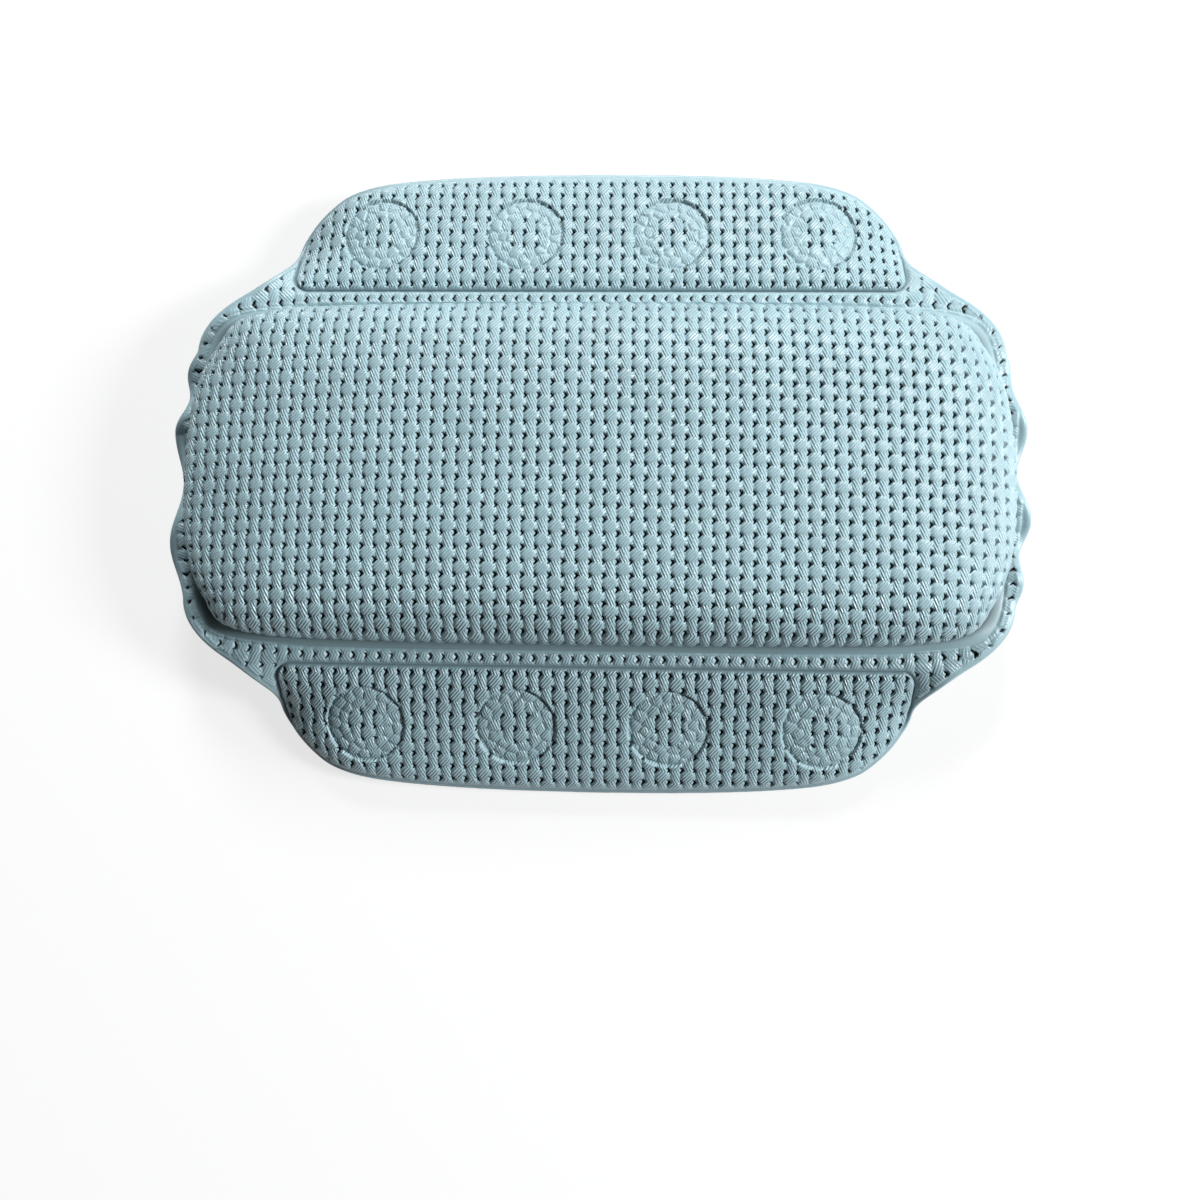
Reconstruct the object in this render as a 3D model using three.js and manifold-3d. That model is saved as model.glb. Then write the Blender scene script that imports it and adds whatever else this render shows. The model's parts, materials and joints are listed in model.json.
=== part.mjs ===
// Bath pillow: a puffed foam cushion between two welded sheets, with a flap along each long side.
// Each flap carries four suction cups on its back and folds along a narrow row beside the cushion.
// Millimetres, +Z up. The pillow lies on its back with its face up, and +Y is the top of the face.
import * as THREE from 'three';
import { mergeVertices } from 'three/addons/utils/BufferGeometryUtils.js';
import Module from 'manifold-3d';

// Cushion: the seam outline, how far it puffs, and how far its sides draw in
const SEAM_LENGTH = 298;
const SEAM_WIDTH = 125;
const SEAM_CORNER_R = 32;
const SIDE_DRAW_IN = 1;
const END_DRAW_IN = 1.5;
const FRONT_CROWN = 28;
const BACK_DEPTH = 24.2;
const REST_PATCH_WIDTH = 33;
const CROWN_POWER = 2.4;
const CROWN_ROUNDNESS = 0.62;

// Sheets: foam front and film back, thin where they are welded together
const FRONT_SHEET = 3;
const BACK_SHEET = 1.5;
const FRONT_WELD = 1;
const BACK_WELD = 0.8;
const PLY_GAP = 0.3;
const CORE_GAP = 0.5;

// Welded flange round the cushion: its width at the long sides, the corners and the crests of the ends
const SIDE_BAND = 3.5;
const CORNER_FLANGE = 4;
const END_FLANGE = 11;
const END_STRAIGHT = 94;

// Puckers at the two ends: scallops in plan and waves in height
const PUCKER_PITCH = 31;
const PUCKER_DEPTH = 2.2;
const PUCKER_WAVE = 2.4;
const PUCKER_CREST_Y = -16;

// Fold rows between the cushion and the flaps, and the notches where a row meets the outline
const FOLD_ROW_WIDTH = 4;
const FOLD_ROW_RISE = 0.6;
const FOLD_CLEARANCE = 0.3;
const NOTCH_FROM_END = 23.8;
const NOTCH_OUT = 8;
const EAR_LENGTH = 6.2;
const EAR_CLEARANCE = 0.5;
const SHOULDER_FROM_END = 0.5;
const SHOULDER_IN = 3.5;
const UPPER_DROOP = THREE.MathUtils.degToRad(6);

// Flaps, measured flat from the fold line, with their corners measured inwards from the notch
const FLAP_REACH = 51;
const FLAP_HOLLOW_IN = 7.8;
const FLAP_HOLLOW_Y = 14.7;
const FLAP_CORNER_IN = 11.4;
const FLAP_CORNER_DROP = 19.3;
const FLAP_EDGE_IN = 37.4;
const FLAP_RIM = 3.5;
const FLAP_PAD = 2.2;
const FLAP_CHAMFER = 0.6;

// Suction cups and the weld mark that each one leaves on the front of its flap
const CUPS_PER_FLAP = 4;
const CUP_PITCH = 56;
const CUP_Y = 27;
const CUP_BASE_R = 12;
const CUP_BASE_THICKNESS = 1;
const CUP_NECK_R = 4.3;
const CUP_NECK_CLEARANCE = 0.3;
const CUP_SHOULDER_R = 7;
const CUP_WAIST_R = 8.5;
const CUP_CROWN_R = 8;
const CUP_LIP_R = 15;
const CUP_LIP_WIDTH = 1.2;
const CUP_LIP_THICKNESS = 0.7;
const CUP_HEIGHT = 9.6;
const CUP_WALL = 2.4;
const CUP_FLOOR_CLEARANCE = 0.3;
const MARK_MARGIN = 2.2;
const MARK_GROOVE_WIDTH = 1.8;
const MARK_GROOVE_DEPTH = 0.9;
const MARK_DOME_RISE = 0.7;

// Facets
const SIDE_STEPS = 12;
const CORNER_STEPS = 7;
const END_STEPS = 18;
const CURVE_STEPS = 6;
const BELL_STEPS = 3;
const MARK_STEPS = 16;
const CUP_STEPS = 16;

// Shares of the way from seam to crown at which the rings of the cushion lie
const FRONT_RINGS = [0, 0.04, 0.13, 0.29, 0.54, 0.86];
const BACK_RINGS = [0, 0.05, 0.16, 0.36, 0.68, 1];
const FRONT_HOLLOW_RINGS = [0, 0.08, 0.25, 0.55, 0.86];
const BACK_HOLLOW_RINGS = [0, 0.08, 0.25, 0.6, 1];

const { CrossSection, Manifold, Mesh: SolidMesh } = await loadSolids();

// Levels of the sheets, measured from the seam plane
const FRONT_BOTTOM = PLY_GAP / 2;
const FRONT_TOP = FRONT_BOTTOM + FRONT_WELD;
const BACK_TOP = -PLY_GAP / 2;
const BACK_BOTTOM = BACK_TOP - BACK_WELD;
const CUP_SHOULDER_Z = BACK_BOTTOM - PLY_GAP;
const CUP_LIP_Z = CUP_SHOULDER_Z - CUP_HEIGHT;

// Places in plan that follow from the sizes
const HALF_LENGTH = SEAM_LENGTH / 2;
const HALF_WIDTH = SEAM_WIDTH / 2;
const FLAT_INSET = HALF_WIDTH - REST_PATCH_WIDTH / 2;
const BAND_EDGE_Y = HALF_WIDTH + SIDE_BAND;
const FLAP_ROOT_Y = FOLD_ROW_WIDTH / 2;
const FOLD_Y = BAND_EDGE_Y + FOLD_ROW_WIDTH / 2;
const NOTCH = new THREE.Vector2(HALF_LENGTH - NOTCH_FROM_END, FOLD_Y + NOTCH_OUT);
const EAR = new THREE.Vector2(NOTCH.x - EAR_LENGTH, FOLD_Y + FLAP_ROOT_Y - FOLD_CLEARANCE);
const SHOULDER = new THREE.Vector2(HALF_LENGTH - SHOULDER_FROM_END, FOLD_Y - SHOULDER_IN);
const END = new THREE.Vector2(HALF_LENGTH + CORNER_FLANGE, END_STRAIGHT / 2);

async function loadSolids() {
  const wasm = await Module();
  wasm.setup();
  return wasm;
}

// Points of a rounded rectangle inset from the seam, counter-clockwise from the lower left, with sides
// that draw in between the corners. The second half of the loop is the first turned by half a turn.
function seamRing(inset, z, stride = 1) {
  const radius = SEAM_CORNER_R * (1 - inset / HALF_WIDTH);
  const straightX = HALF_LENGTH - inset - radius;
  const straightY = HALF_WIDTH - inset - radius;
  const half = [];
  for (let i = 0; i < SIDE_STEPS; i++) {
    const t = 2 * i / SIDE_STEPS - 1;
    const drawIn = SIDE_DRAW_IN * (1 - inset / HALF_WIDTH) * (1 - t * t) ** 2;
    half.push([straightX * t, -straightY - radius + drawIn]);
  }
  for (let i = 0; i < CORNER_STEPS; i++) {
    const angle = (i / CORNER_STEPS - 1) * Math.PI / 2;
    half.push([straightX + radius * Math.cos(angle), -straightY + radius * Math.sin(angle)]);
  }
  for (let i = 0; i < END_STEPS; i++) {
    const t = 2 * i / END_STEPS - 1;
    const drawIn = END_DRAW_IN * (1 - inset / HALF_WIDTH) * (1 - t * t) ** 2;
    half.push([straightX + radius - drawIn, straightY * t]);
  }
  for (let i = 0; i < CORNER_STEPS; i++) {
    const angle = i / CORNER_STEPS * Math.PI / 2;
    half.push([straightX + radius * Math.cos(angle), straightY + radius * Math.sin(angle)]);
  }
  return turnHalf(half.map(([x, y]) => [x, y, z])).filter((_, i) => i % stride === 0);
}

// Points of the flange outline, in step with those of the seam: straight beside the fold rows, an ear
// up to each notch, a round shoulder, and a puckered end that also waves up and down.
function flangeRing(z) {
  const shoulder = new THREE.QuadraticBezierCurve(NOTCH, SHOULDER, END);
  const corner = [new THREE.Vector2(EAR.x, BAND_EDGE_Y), EAR, ...shoulder.getPoints(CORNER_STEPS - 2)];
  const half = [];
  for (let i = 0; i < SIDE_STEPS; i++) {
    half.push([EAR.x * (2 * i / SIDE_STEPS - 1), -BAND_EDGE_Y, z]);
  }
  corner.slice(0, -1).forEach((point) => half.push([point.x, -point.y, z]));
  for (let i = 0; i < END_STEPS; i++) {
    const t = 2 * i / END_STEPS - 1;
    const y = END.y * t;
    const fade = 1 - t ** 4;
    const phase = 2 * Math.PI * (y - PUCKER_CREST_Y) / PUCKER_PITCH;
    const bulge = END_FLANGE - PUCKER_DEPTH - CORNER_FLANGE;
    const x = END.x + fade * (bulge + PUCKER_DEPTH * Math.cos(phase));
    half.push([x, y, z + PUCKER_WAVE * fade * Math.sin(phase)]);
  }
  corner.slice(1).reverse().forEach((point) => half.push([point.x, point.y, z]));
  return turnHalf(half);
}

function turnHalf(half) {
  return [...half, ...half.map(([x, y, z]) => [-x, -y, z])];
}

// Closed body through a list of rings, which run outwards on its upper side and inwards on its lower one.
// Quads are split along the same diagonal on both sides, so that the plies of the flange stay parallel.
// Both end rings are closed by strips that join the points above the long axis to those below it.
function loftRings(rings) {
  const count = rings[0].length;
  const positions = rings.flat(2);
  const index = [];
  for (let k = 0; k < rings.length - 1; k++) {
    const outwards = Math.abs(rings[k + 1][0][1]) > Math.abs(rings[k][0][1]);
    for (let i = 0; i < count; i++) {
      const a = k * count + i;
      const b = k * count + (i + 1) % count;
      const c = b + count;
      const d = a + count;
      index.push(...(outwards ? [a, d, c, a, c, b] : [a, d, b, b, d, c]));
    }
  }
  const endMiddle = (SIDE_STEPS + CORNER_STEPS + END_STEPS / 2) * count / ringCount();
  closeRing(index, 0, count, endMiddle, false);
  closeRing(index, (rings.length - 1) * count, count, endMiddle, true);
  const geometry = new THREE.BufferGeometry();
  geometry.setAttribute('position', new THREE.Float32BufferAttribute(positions, 3));
  geometry.setIndex(index);
  return geometry;
}

function ringCount() {
  return 2 * (SIDE_STEPS + 2 * CORNER_STEPS + END_STEPS);
}

function closeRing(index, start, count, middle, facesDown) {
  const at = (i) => start + (i + count) % count;
  const add = (a, b, c) => index.push(...(facesDown ? [a, c, b] : [a, b, c]));
  for (let j = 0; j < count / 2; j++) {
    const above = at(middle + j);
    const aboveNext = at(middle + j + 1);
    const below = at(middle - j);
    const belowNext = at(middle - j - 1);
    if (j > 0) add(above, aboveNext, below);
    if (j < count / 2 - 1) add(aboveNext, belowNext, below);
  }
}

// Height of a puffed sheet as a share of its crown: steep at the seam and flat in the middle
function puff(share) {
  const s = Math.min(share, 1);
  return (1 - (1 - s) ** CROWN_POWER) ** CROWN_ROUNDNESS;
}

// Rings of a puffed sheet that starts at one inset and level and reaches its full height at another inset
function puffedRings(shares, startInset, fullInset, z, height, stride = 1) {
  return shares.map((share) => {
    const inset = startInset + share * (fullInset - startInset);
    return seamRing(inset, z + height * puff(share), stride);
  });
}

function cushionFrontCover() {
  const outer = puffedRings(FRONT_RINGS, 0, HALF_WIDTH, FRONT_TOP, FRONT_CROWN);
  const hollow = FRONT_CROWN + FRONT_TOP - FRONT_SHEET - FRONT_BOTTOM;
  const inner = puffedRings(FRONT_HOLLOW_RINGS, FRONT_SHEET, HALF_WIDTH, FRONT_BOTTOM, hollow);
  const flange = [flangeRing(FRONT_TOP), flangeRing(FRONT_BOTTOM), seamRing(0, FRONT_BOTTOM)];
  return loftRings([...outer.reverse(), ...flange, ...inner]);
}

// The back puffs less, and lies flat on the patch that the pillow rests on
function cushionBackCover() {
  const outer = puffedRings(BACK_RINGS, 0, FLAT_INSET, BACK_BOTTOM, -BACK_DEPTH - BACK_BOTTOM);
  const hollow = BACK_SHEET - BACK_DEPTH - BACK_TOP;
  const flatInset = FLAT_INSET + BACK_SHEET;
  const inner = puffedRings(BACK_HOLLOW_RINGS, BACK_SHEET, flatInset, BACK_TOP, hollow);
  const flange = [seamRing(0, BACK_TOP), flangeRing(BACK_TOP), flangeRing(BACK_BOTTOM)];
  return loftRings([...inner.reverse(), ...flange, ...outer]);
}

// Foam core, a little smaller all round than the hollow between the covers
function cushionCore() {
  const rim = FRONT_SHEET + CORE_GAP;
  const rise = FRONT_CROWN + FRONT_TOP - FRONT_SHEET - 2 * CORE_GAP;
  const drop = BACK_DEPTH - BACK_SHEET - 2 * CORE_GAP;
  const above = puffedRings(FRONT_HOLLOW_RINGS, rim, HALF_WIDTH, 0, rise, 2);
  const below = puffedRings(BACK_HOLLOW_RINGS.slice(1), rim, FLAT_INSET + rim, 0, -drop, 2);
  return loftRings([...above.reverse(), ...below]);
}

// Strip of one sheet along a fold row: level beside the cushion, bent down beside the flap, and swollen
// in the middle by rise. It spans the row between the cushion's edge and the flap's root.
function foldStrip(near, far, rise, droop) {
  const reach = FLAP_ROOT_Y - FOLD_CLEARANCE;
  const start = (z) => new THREE.Vector2(-reach, z);
  const middle = (z) => new THREE.Vector2(z * Math.tan(droop / 2), z);
  const end = (z) => new THREE.Vector2(
    reach * Math.cos(droop) + z * Math.sin(droop),
    -reach * Math.sin(droop) + z * Math.cos(droop),
  );
  const outer = [start(far), middle(far + rise), end(far)];
  const section = new THREE.Shape([start(near), middle(near), end(near), ...outer.reverse()]);
  const length = 2 * (EAR.x - EAR_CLEARANCE);
  const strip = new THREE.ExtrudeGeometry(section, { depth: length, bevelEnabled: false });
  return strip.rotateX(Math.PI / 2).rotateZ(Math.PI / 2).translate(-length / 2, 0, 0);
}

// Flap outline, flat, with the fold line along X: a straight root, slant cuts clear of the cushion's ears,
// hollow sides, round corners and a bowed outer edge, which run into each other midway between their controls
function flapOutline() {
  const slant = NOTCH.clone().sub(EAR).normalize();
  const clear = new THREE.Vector2(-slant.y, slant.x).multiplyScalar(EAR_CLEARANCE);
  const notch = new THREE.Vector2(NOTCH.x, NOTCH.y - FOLD_Y).add(clear);
  const rootX = notch.x - (notch.y - FLAP_ROOT_Y) * slant.x / slant.y;
  const hollow = [NOTCH.x - FLAP_HOLLOW_IN, FLAP_HOLLOW_Y];
  const corner = [NOTCH.x - FLAP_CORNER_IN, FLAP_REACH - FLAP_CORNER_DROP];
  const bow = [NOTCH.x - FLAP_EDGE_IN, FLAP_REACH];
  const between = (a, b) => [(a[0] + b[0]) / 2, (a[1] + b[1]) / 2];
  const side = between(hollow, corner);
  const edge = between(corner, bow);
  const turned = ([x, y]) => [-x, y];
  const shape = new THREE.Shape();
  shape.moveTo(-rootX, FLAP_ROOT_Y);
  shape.lineTo(rootX, FLAP_ROOT_Y);
  shape.lineTo(notch.x, notch.y);
  shape.quadraticCurveTo(...hollow, ...side);
  shape.quadraticCurveTo(...corner, ...edge);
  shape.quadraticCurveTo(...bow, 0, FLAP_REACH);
  shape.quadraticCurveTo(...turned(bow), ...turned(edge));
  shape.quadraticCurveTo(...turned(corner), ...turned(side));
  shape.quadraticCurveTo(...turned(hollow), -notch.x, notch.y);
  return shape;
}

// The same outline moved inwards by an equal distance all round
function insetOutline(shape, distance) {
  const loop = shape.getPoints(CURVE_STEPS).map(({ x, y }) => [x, y]);
  const [inner] = new CrossSection([loop]).offset(-distance, 'Miter').toPolygons();
  return new THREE.Shape(inner.map(([x, y]) => new THREE.Vector2(x, y)));
}

function cupCentres() {
  const middle = (CUPS_PER_FLAP - 1) / 2;
  return Array.from({ length: CUPS_PER_FLAP }, (_, i) => new THREE.Vector2((i - middle) * CUP_PITCH, CUP_Y));
}

// Revolved body about Z from a profile of radius and height
function turnedBody(profile, steps, centre) {
  const points = profile.map(([radius, z]) => new THREE.Vector2(radius, z));
  const body = new THREE.LatheGeometry(points, steps).rotateX(Math.PI / 2);
  return body.translate(centre.x, centre.y, 0);
}

function toSolid(geometry) {
  geometry.deleteAttribute('normal');
  geometry.deleteAttribute('uv');
  const merged = mergeVertices(geometry, 1e-4);
  const vertProperties = new Float32Array(merged.attributes.position.array);
  const triVerts = new Uint32Array(merged.index.array);
  return new Manifold(new SolidMesh({ numProp: 3, vertProperties, triVerts }));
}

function toGeometry(solid) {
  const { vertProperties, triVerts } = solid.getMesh();
  const geometry = new THREE.BufferGeometry();
  geometry.setAttribute('position', new THREE.BufferAttribute(vertProperties, 3));
  geometry.setIndex(new THREE.BufferAttribute(triVerts, 1));
  return geometry;
}

// Front of a flap: a thin welded rim, a thicker pad inside it, and at each cup a domed weld mark ringed by
// a groove, with a pocket below for the base of the cup
function flapFront() {
  const outline = flapOutline();
  const flat = { depth: FRONT_WELD, bevelEnabled: false, curveSegments: CURVE_STEPS };
  const rim = new THREE.ExtrudeGeometry(outline, flat).translate(0, 0, FRONT_BOTTOM);
  const padOptions = {
    depth: FLAP_PAD - FRONT_WELD - FLAP_CHAMFER,
    bevelSize: FLAP_CHAMFER,
    bevelOffset: -FLAP_CHAMFER,
    bevelThickness: FLAP_CHAMFER,
    bevelSegments: 1,
  };
  const pad = new THREE.ExtrudeGeometry(insetOutline(outline, FLAP_RIM), padOptions);
  pad.translate(0, 0, FRONT_BOTTOM + FRONT_WELD);
  const solid = cupCentres().reduce(addWeldMark, toSolid(rim).add(toSolid(pad)));
  return toGeometry(solid);
}

function addWeldMark(solid, centre) {
  const top = FRONT_BOTTOM + FLAP_PAD;
  const domeTop = top + MARK_DOME_RISE;
  const pocketTop = FRONT_BOTTOM + CUP_BASE_THICKNESS + PLY_GAP;
  const pocketR = CUP_BASE_R + PLY_GAP;
  const middleR = CUP_BASE_R + MARK_MARGIN;
  const innerR = middleR - MARK_GROOVE_WIDTH / 2;
  const outerR = middleR + MARK_GROOVE_WIDTH / 2;
  const dome = [[0, pocketTop], [innerR, pocketTop], [innerR, top], [innerR / 2, domeTop], [0, domeTop]];
  const floor = [middleR, top - MARK_GROOVE_DEPTH];
  const groove = [[innerR, domeTop], [innerR, top], floor, [outerR, top], [outerR, domeTop], [innerR, domeTop]];
  const pocket = [[0, 0], [pocketR, 0], [pocketR, pocketTop], [0, pocketTop]];
  const [domeSolid, grooveSolid, pocketSolid] = [dome, groove, pocket].map(
    (profile) => toSolid(turnedBody(profile, MARK_STEPS, centre)),
  );
  return solid.add(domeSolid).subtract(grooveSolid).subtract(pocketSolid);
}

// Back of a flap: the plain film with a hole for the neck of each cup
function flapBack() {
  const outline = flapOutline();
  for (const centre of cupCentres()) {
    const hole = new THREE.Path().absarc(centre.x, centre.y, CUP_NECK_R + CUP_NECK_CLEARANCE, 0, 2 * Math.PI);
    outline.holes.push(hole);
  }
  const flat = { depth: BACK_WELD, bevelEnabled: false, curveSegments: CURVE_STEPS };
  return new THREE.ExtrudeGeometry(outline, flat).translate(0, 0, BACK_BOTTOM);
}

// One-piece cup: base disc between the sheets, neck through the back film, and a hollow bell with a flat lip
function suctionCup(centre) {
  const baseTop = FRONT_BOTTOM + CUP_BASE_THICKNESS;
  const crownZ = CUP_SHOULDER_Z - CUP_WALL;
  const waistZ = CUP_SHOULDER_Z - CUP_HEIGHT / 2;
  const inside = new THREE.QuadraticBezierCurve(
    new THREE.Vector2(0, crownZ),
    new THREE.Vector2(CUP_CROWN_R, crownZ),
    new THREE.Vector2(CUP_LIP_R - CUP_LIP_WIDTH, CUP_LIP_Z),
  );
  const outside = new THREE.QuadraticBezierCurve(
    new THREE.Vector2(CUP_LIP_R, CUP_LIP_Z + CUP_LIP_THICKNESS),
    new THREE.Vector2(CUP_WAIST_R, waistZ),
    new THREE.Vector2(CUP_SHOULDER_R, CUP_SHOULDER_Z),
  );
  const bell = [
    ...inside.getPoints(BELL_STEPS),
    new THREE.Vector2(CUP_LIP_R, CUP_LIP_Z),
    ...outside.getPoints(BELL_STEPS),
  ].map((point) => [point.x, point.y]);
  const neck = [[CUP_NECK_R, CUP_SHOULDER_Z], [CUP_NECK_R, FRONT_BOTTOM]];
  const base = [[CUP_BASE_R, FRONT_BOTTOM], [CUP_BASE_R, baseTop], [0, baseTop]];
  return turnedBody([...bell, ...neck, ...base], CUP_STEPS, centre);
}

// Droop at which the cups of a flap come down to the ground beside the cushion
function restingDroop() {
  const lipReach = CUP_Y + CUP_LIP_R;
  const height = BACK_DEPTH - CUP_FLOOR_CLEARANCE;
  return Math.asin(height / Math.hypot(lipReach, CUP_LIP_Z)) - Math.atan2(-CUP_LIP_Z, lipReach);
}
const LOWER_DROOP = restingDroop();

const foamSheet = () => new THREE.MeshStandardMaterial({ color: 0x9ab4bb, roughness: 0.5, metalness: 0 });
const backFilm = () => new THREE.MeshStandardMaterial({ color: 0x8fa9b1, roughness: 0.4, metalness: 0 });
const foamFill = () => new THREE.MeshStandardMaterial({ color: 0xe9e6da, roughness: 0.95, metalness: 0 });
const clearRubber = () => new THREE.MeshStandardMaterial({ color: 0xd5dedd, roughness: 0.15, metalness: 0 });

function namedMesh(name, geometry, material) {
  const mesh = new THREE.Mesh(geometry, material);
  mesh.name = name;
  return mesh;
}

// A flap and its fold strips, with the fold line along X at the group's origin and the flap towards +Y
function flapAssembly(side, droop) {
  const assembly = new THREE.Group();
  const frontStrip = foldStrip(FRONT_BOTTOM, FRONT_TOP, FOLD_ROW_RISE, droop);
  const backStrip = foldStrip(BACK_BOTTOM, BACK_TOP, 0, droop);
  assembly.add(namedMesh(`${side}_fold_front`, frontStrip, foamSheet()));
  assembly.add(namedMesh(`${side}_fold_back`, backStrip, backFilm()));

  const flap = new THREE.Group();
  flap.rotation.x = -droop;
  flap.add(namedMesh(`${side}_flap_front`, flapFront(), foamSheet()));
  flap.add(namedMesh(`${side}_flap_back`, flapBack(), backFilm()));
  cupCentres().forEach((centre, i) => {
    flap.add(namedMesh(`${side}_suction_cup_${i + 1}`, suctionCup(centre), clearRubber()));
  });
  assembly.add(flap);
  return assembly;
}

// How far a drooping flap reaches from its fold line on the ground plan
function planReach(droop) {
  return FLAP_REACH * Math.cos(droop) + FRONT_TOP * Math.sin(droop);
}

const upperFlap = flapAssembly('upper', UPPER_DROOP);
upperFlap.position.y = FOLD_Y;
const lowerFlap = flapAssembly('lower', LOWER_DROOP);
lowerFlap.position.y = -FOLD_Y;
lowerFlap.rotation.z = Math.PI;

const bathPillow = new THREE.Group();
bathPillow.add(namedMesh('cushion_front_cover', cushionFrontCover(), foamSheet()));
bathPillow.add(namedMesh('cushion_back_cover', cushionBackCover(), backFilm()));
bathPillow.add(namedMesh('cushion_core', cushionCore(), foamFill()));
bathPillow.add(upperFlap, lowerFlap);

// The origin lies on the ground under the middle of the whole outline
bathPillow.position.set(0, (planReach(LOWER_DROOP) - planReach(UPPER_DROOP)) / 2, BACK_DEPTH);

export default bathPillow;
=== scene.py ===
"""Bath pillow: an embossed foam cushion with a flap along each long side and eight suction cups.

The pillow lies on its back. Plan places are in millimetres from the middle of the cushion, with x along it
and y towards its upper flap. Heights are measured from the seam where the two sheets are welded together.
The lower flap is the upper one turned by half a turn, so both are worked out in the upper flap's plan.
"""

import json
import math

import bmesh
import bpy
import numpy as np
from bpy.props import FloatProperty, FloatVectorProperty, IntProperty, PointerProperty
from mathutils import Matrix, Vector
from mathutils.geometry import delaunay_2d_cdt


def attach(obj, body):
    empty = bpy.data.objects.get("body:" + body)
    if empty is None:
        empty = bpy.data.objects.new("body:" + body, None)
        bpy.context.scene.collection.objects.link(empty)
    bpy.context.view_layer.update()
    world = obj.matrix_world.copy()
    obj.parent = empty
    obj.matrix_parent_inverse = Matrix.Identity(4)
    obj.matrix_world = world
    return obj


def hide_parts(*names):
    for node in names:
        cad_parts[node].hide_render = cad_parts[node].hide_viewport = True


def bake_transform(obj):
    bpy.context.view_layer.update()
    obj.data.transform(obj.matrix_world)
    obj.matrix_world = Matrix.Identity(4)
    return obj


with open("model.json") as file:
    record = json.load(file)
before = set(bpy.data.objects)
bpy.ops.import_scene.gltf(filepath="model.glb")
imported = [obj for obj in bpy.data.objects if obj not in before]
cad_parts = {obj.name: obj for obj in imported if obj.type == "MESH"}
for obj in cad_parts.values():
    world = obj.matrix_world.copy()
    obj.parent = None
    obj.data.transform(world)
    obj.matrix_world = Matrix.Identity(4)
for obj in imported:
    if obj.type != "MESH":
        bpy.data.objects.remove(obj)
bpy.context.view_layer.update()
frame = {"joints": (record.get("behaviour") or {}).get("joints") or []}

bl_info = {
    "name": "Bath Pillow",
    "version": (1, 0, 0),
    "blender": (4, 5, 0),
    "location": "View3D > Sidebar > Bath Pillow",
    "description": "Builds an embossed foam bath pillow with folding flaps and suction cups",
    "category": "Add Mesh",
}

MM = 0.001
PLY_GAP = 0.03
FOLDS = {joint["name"]: Vector(joint["pos_m"]) / MM for joint in frame["joints"]}
CENTRE_Y = (FOLDS["upper_fold"].y + FOLDS["lower_fold"].y) / 2
SEAM_Z = FOLDS["upper_fold"].z
FOLD_Y = (FOLDS["upper_fold"].y - FOLDS["lower_fold"].y) / 2
SIDES = {"upper": 1, "lower": -1}


def length(label, millimetres, description):
    """A size in metres, written here in millimetres."""
    return FloatProperty(
        name=label, description=description, default=millimetres * MM, unit="LENGTH", precision=5
    )


def lengths(label, millimetres, description):
    """Several sizes in metres, written here in millimetres."""
    metres = [size * MM for size in millimetres]
    return FloatVectorProperty(
        name=label, description=description, default=metres, size=len(metres), unit="LENGTH", precision=5
    )


def colour(label, red, green, blue, description):
    """A colour, written here as it shows on a screen, in values up to 255."""
    shown = np.array((red, green, blue)) / 255
    linear = np.where(shown <= 0.04045, shown / 12.92, ((shown + 0.055) / 1.055) ** 2.4)
    return FloatVectorProperty(
        name=label, description=description, default=tuple(linear), subtype="COLOR", min=0, max=1, size=3
    )


def angle(label, degrees, description):
    """An angle in radians, written here in degrees."""
    return FloatProperty(name=label, description=description, default=math.radians(degrees), unit="ROTATION")


def number(label, default, description):
    """A plain number."""
    return FloatProperty(name=label, description=description, default=default)


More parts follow.
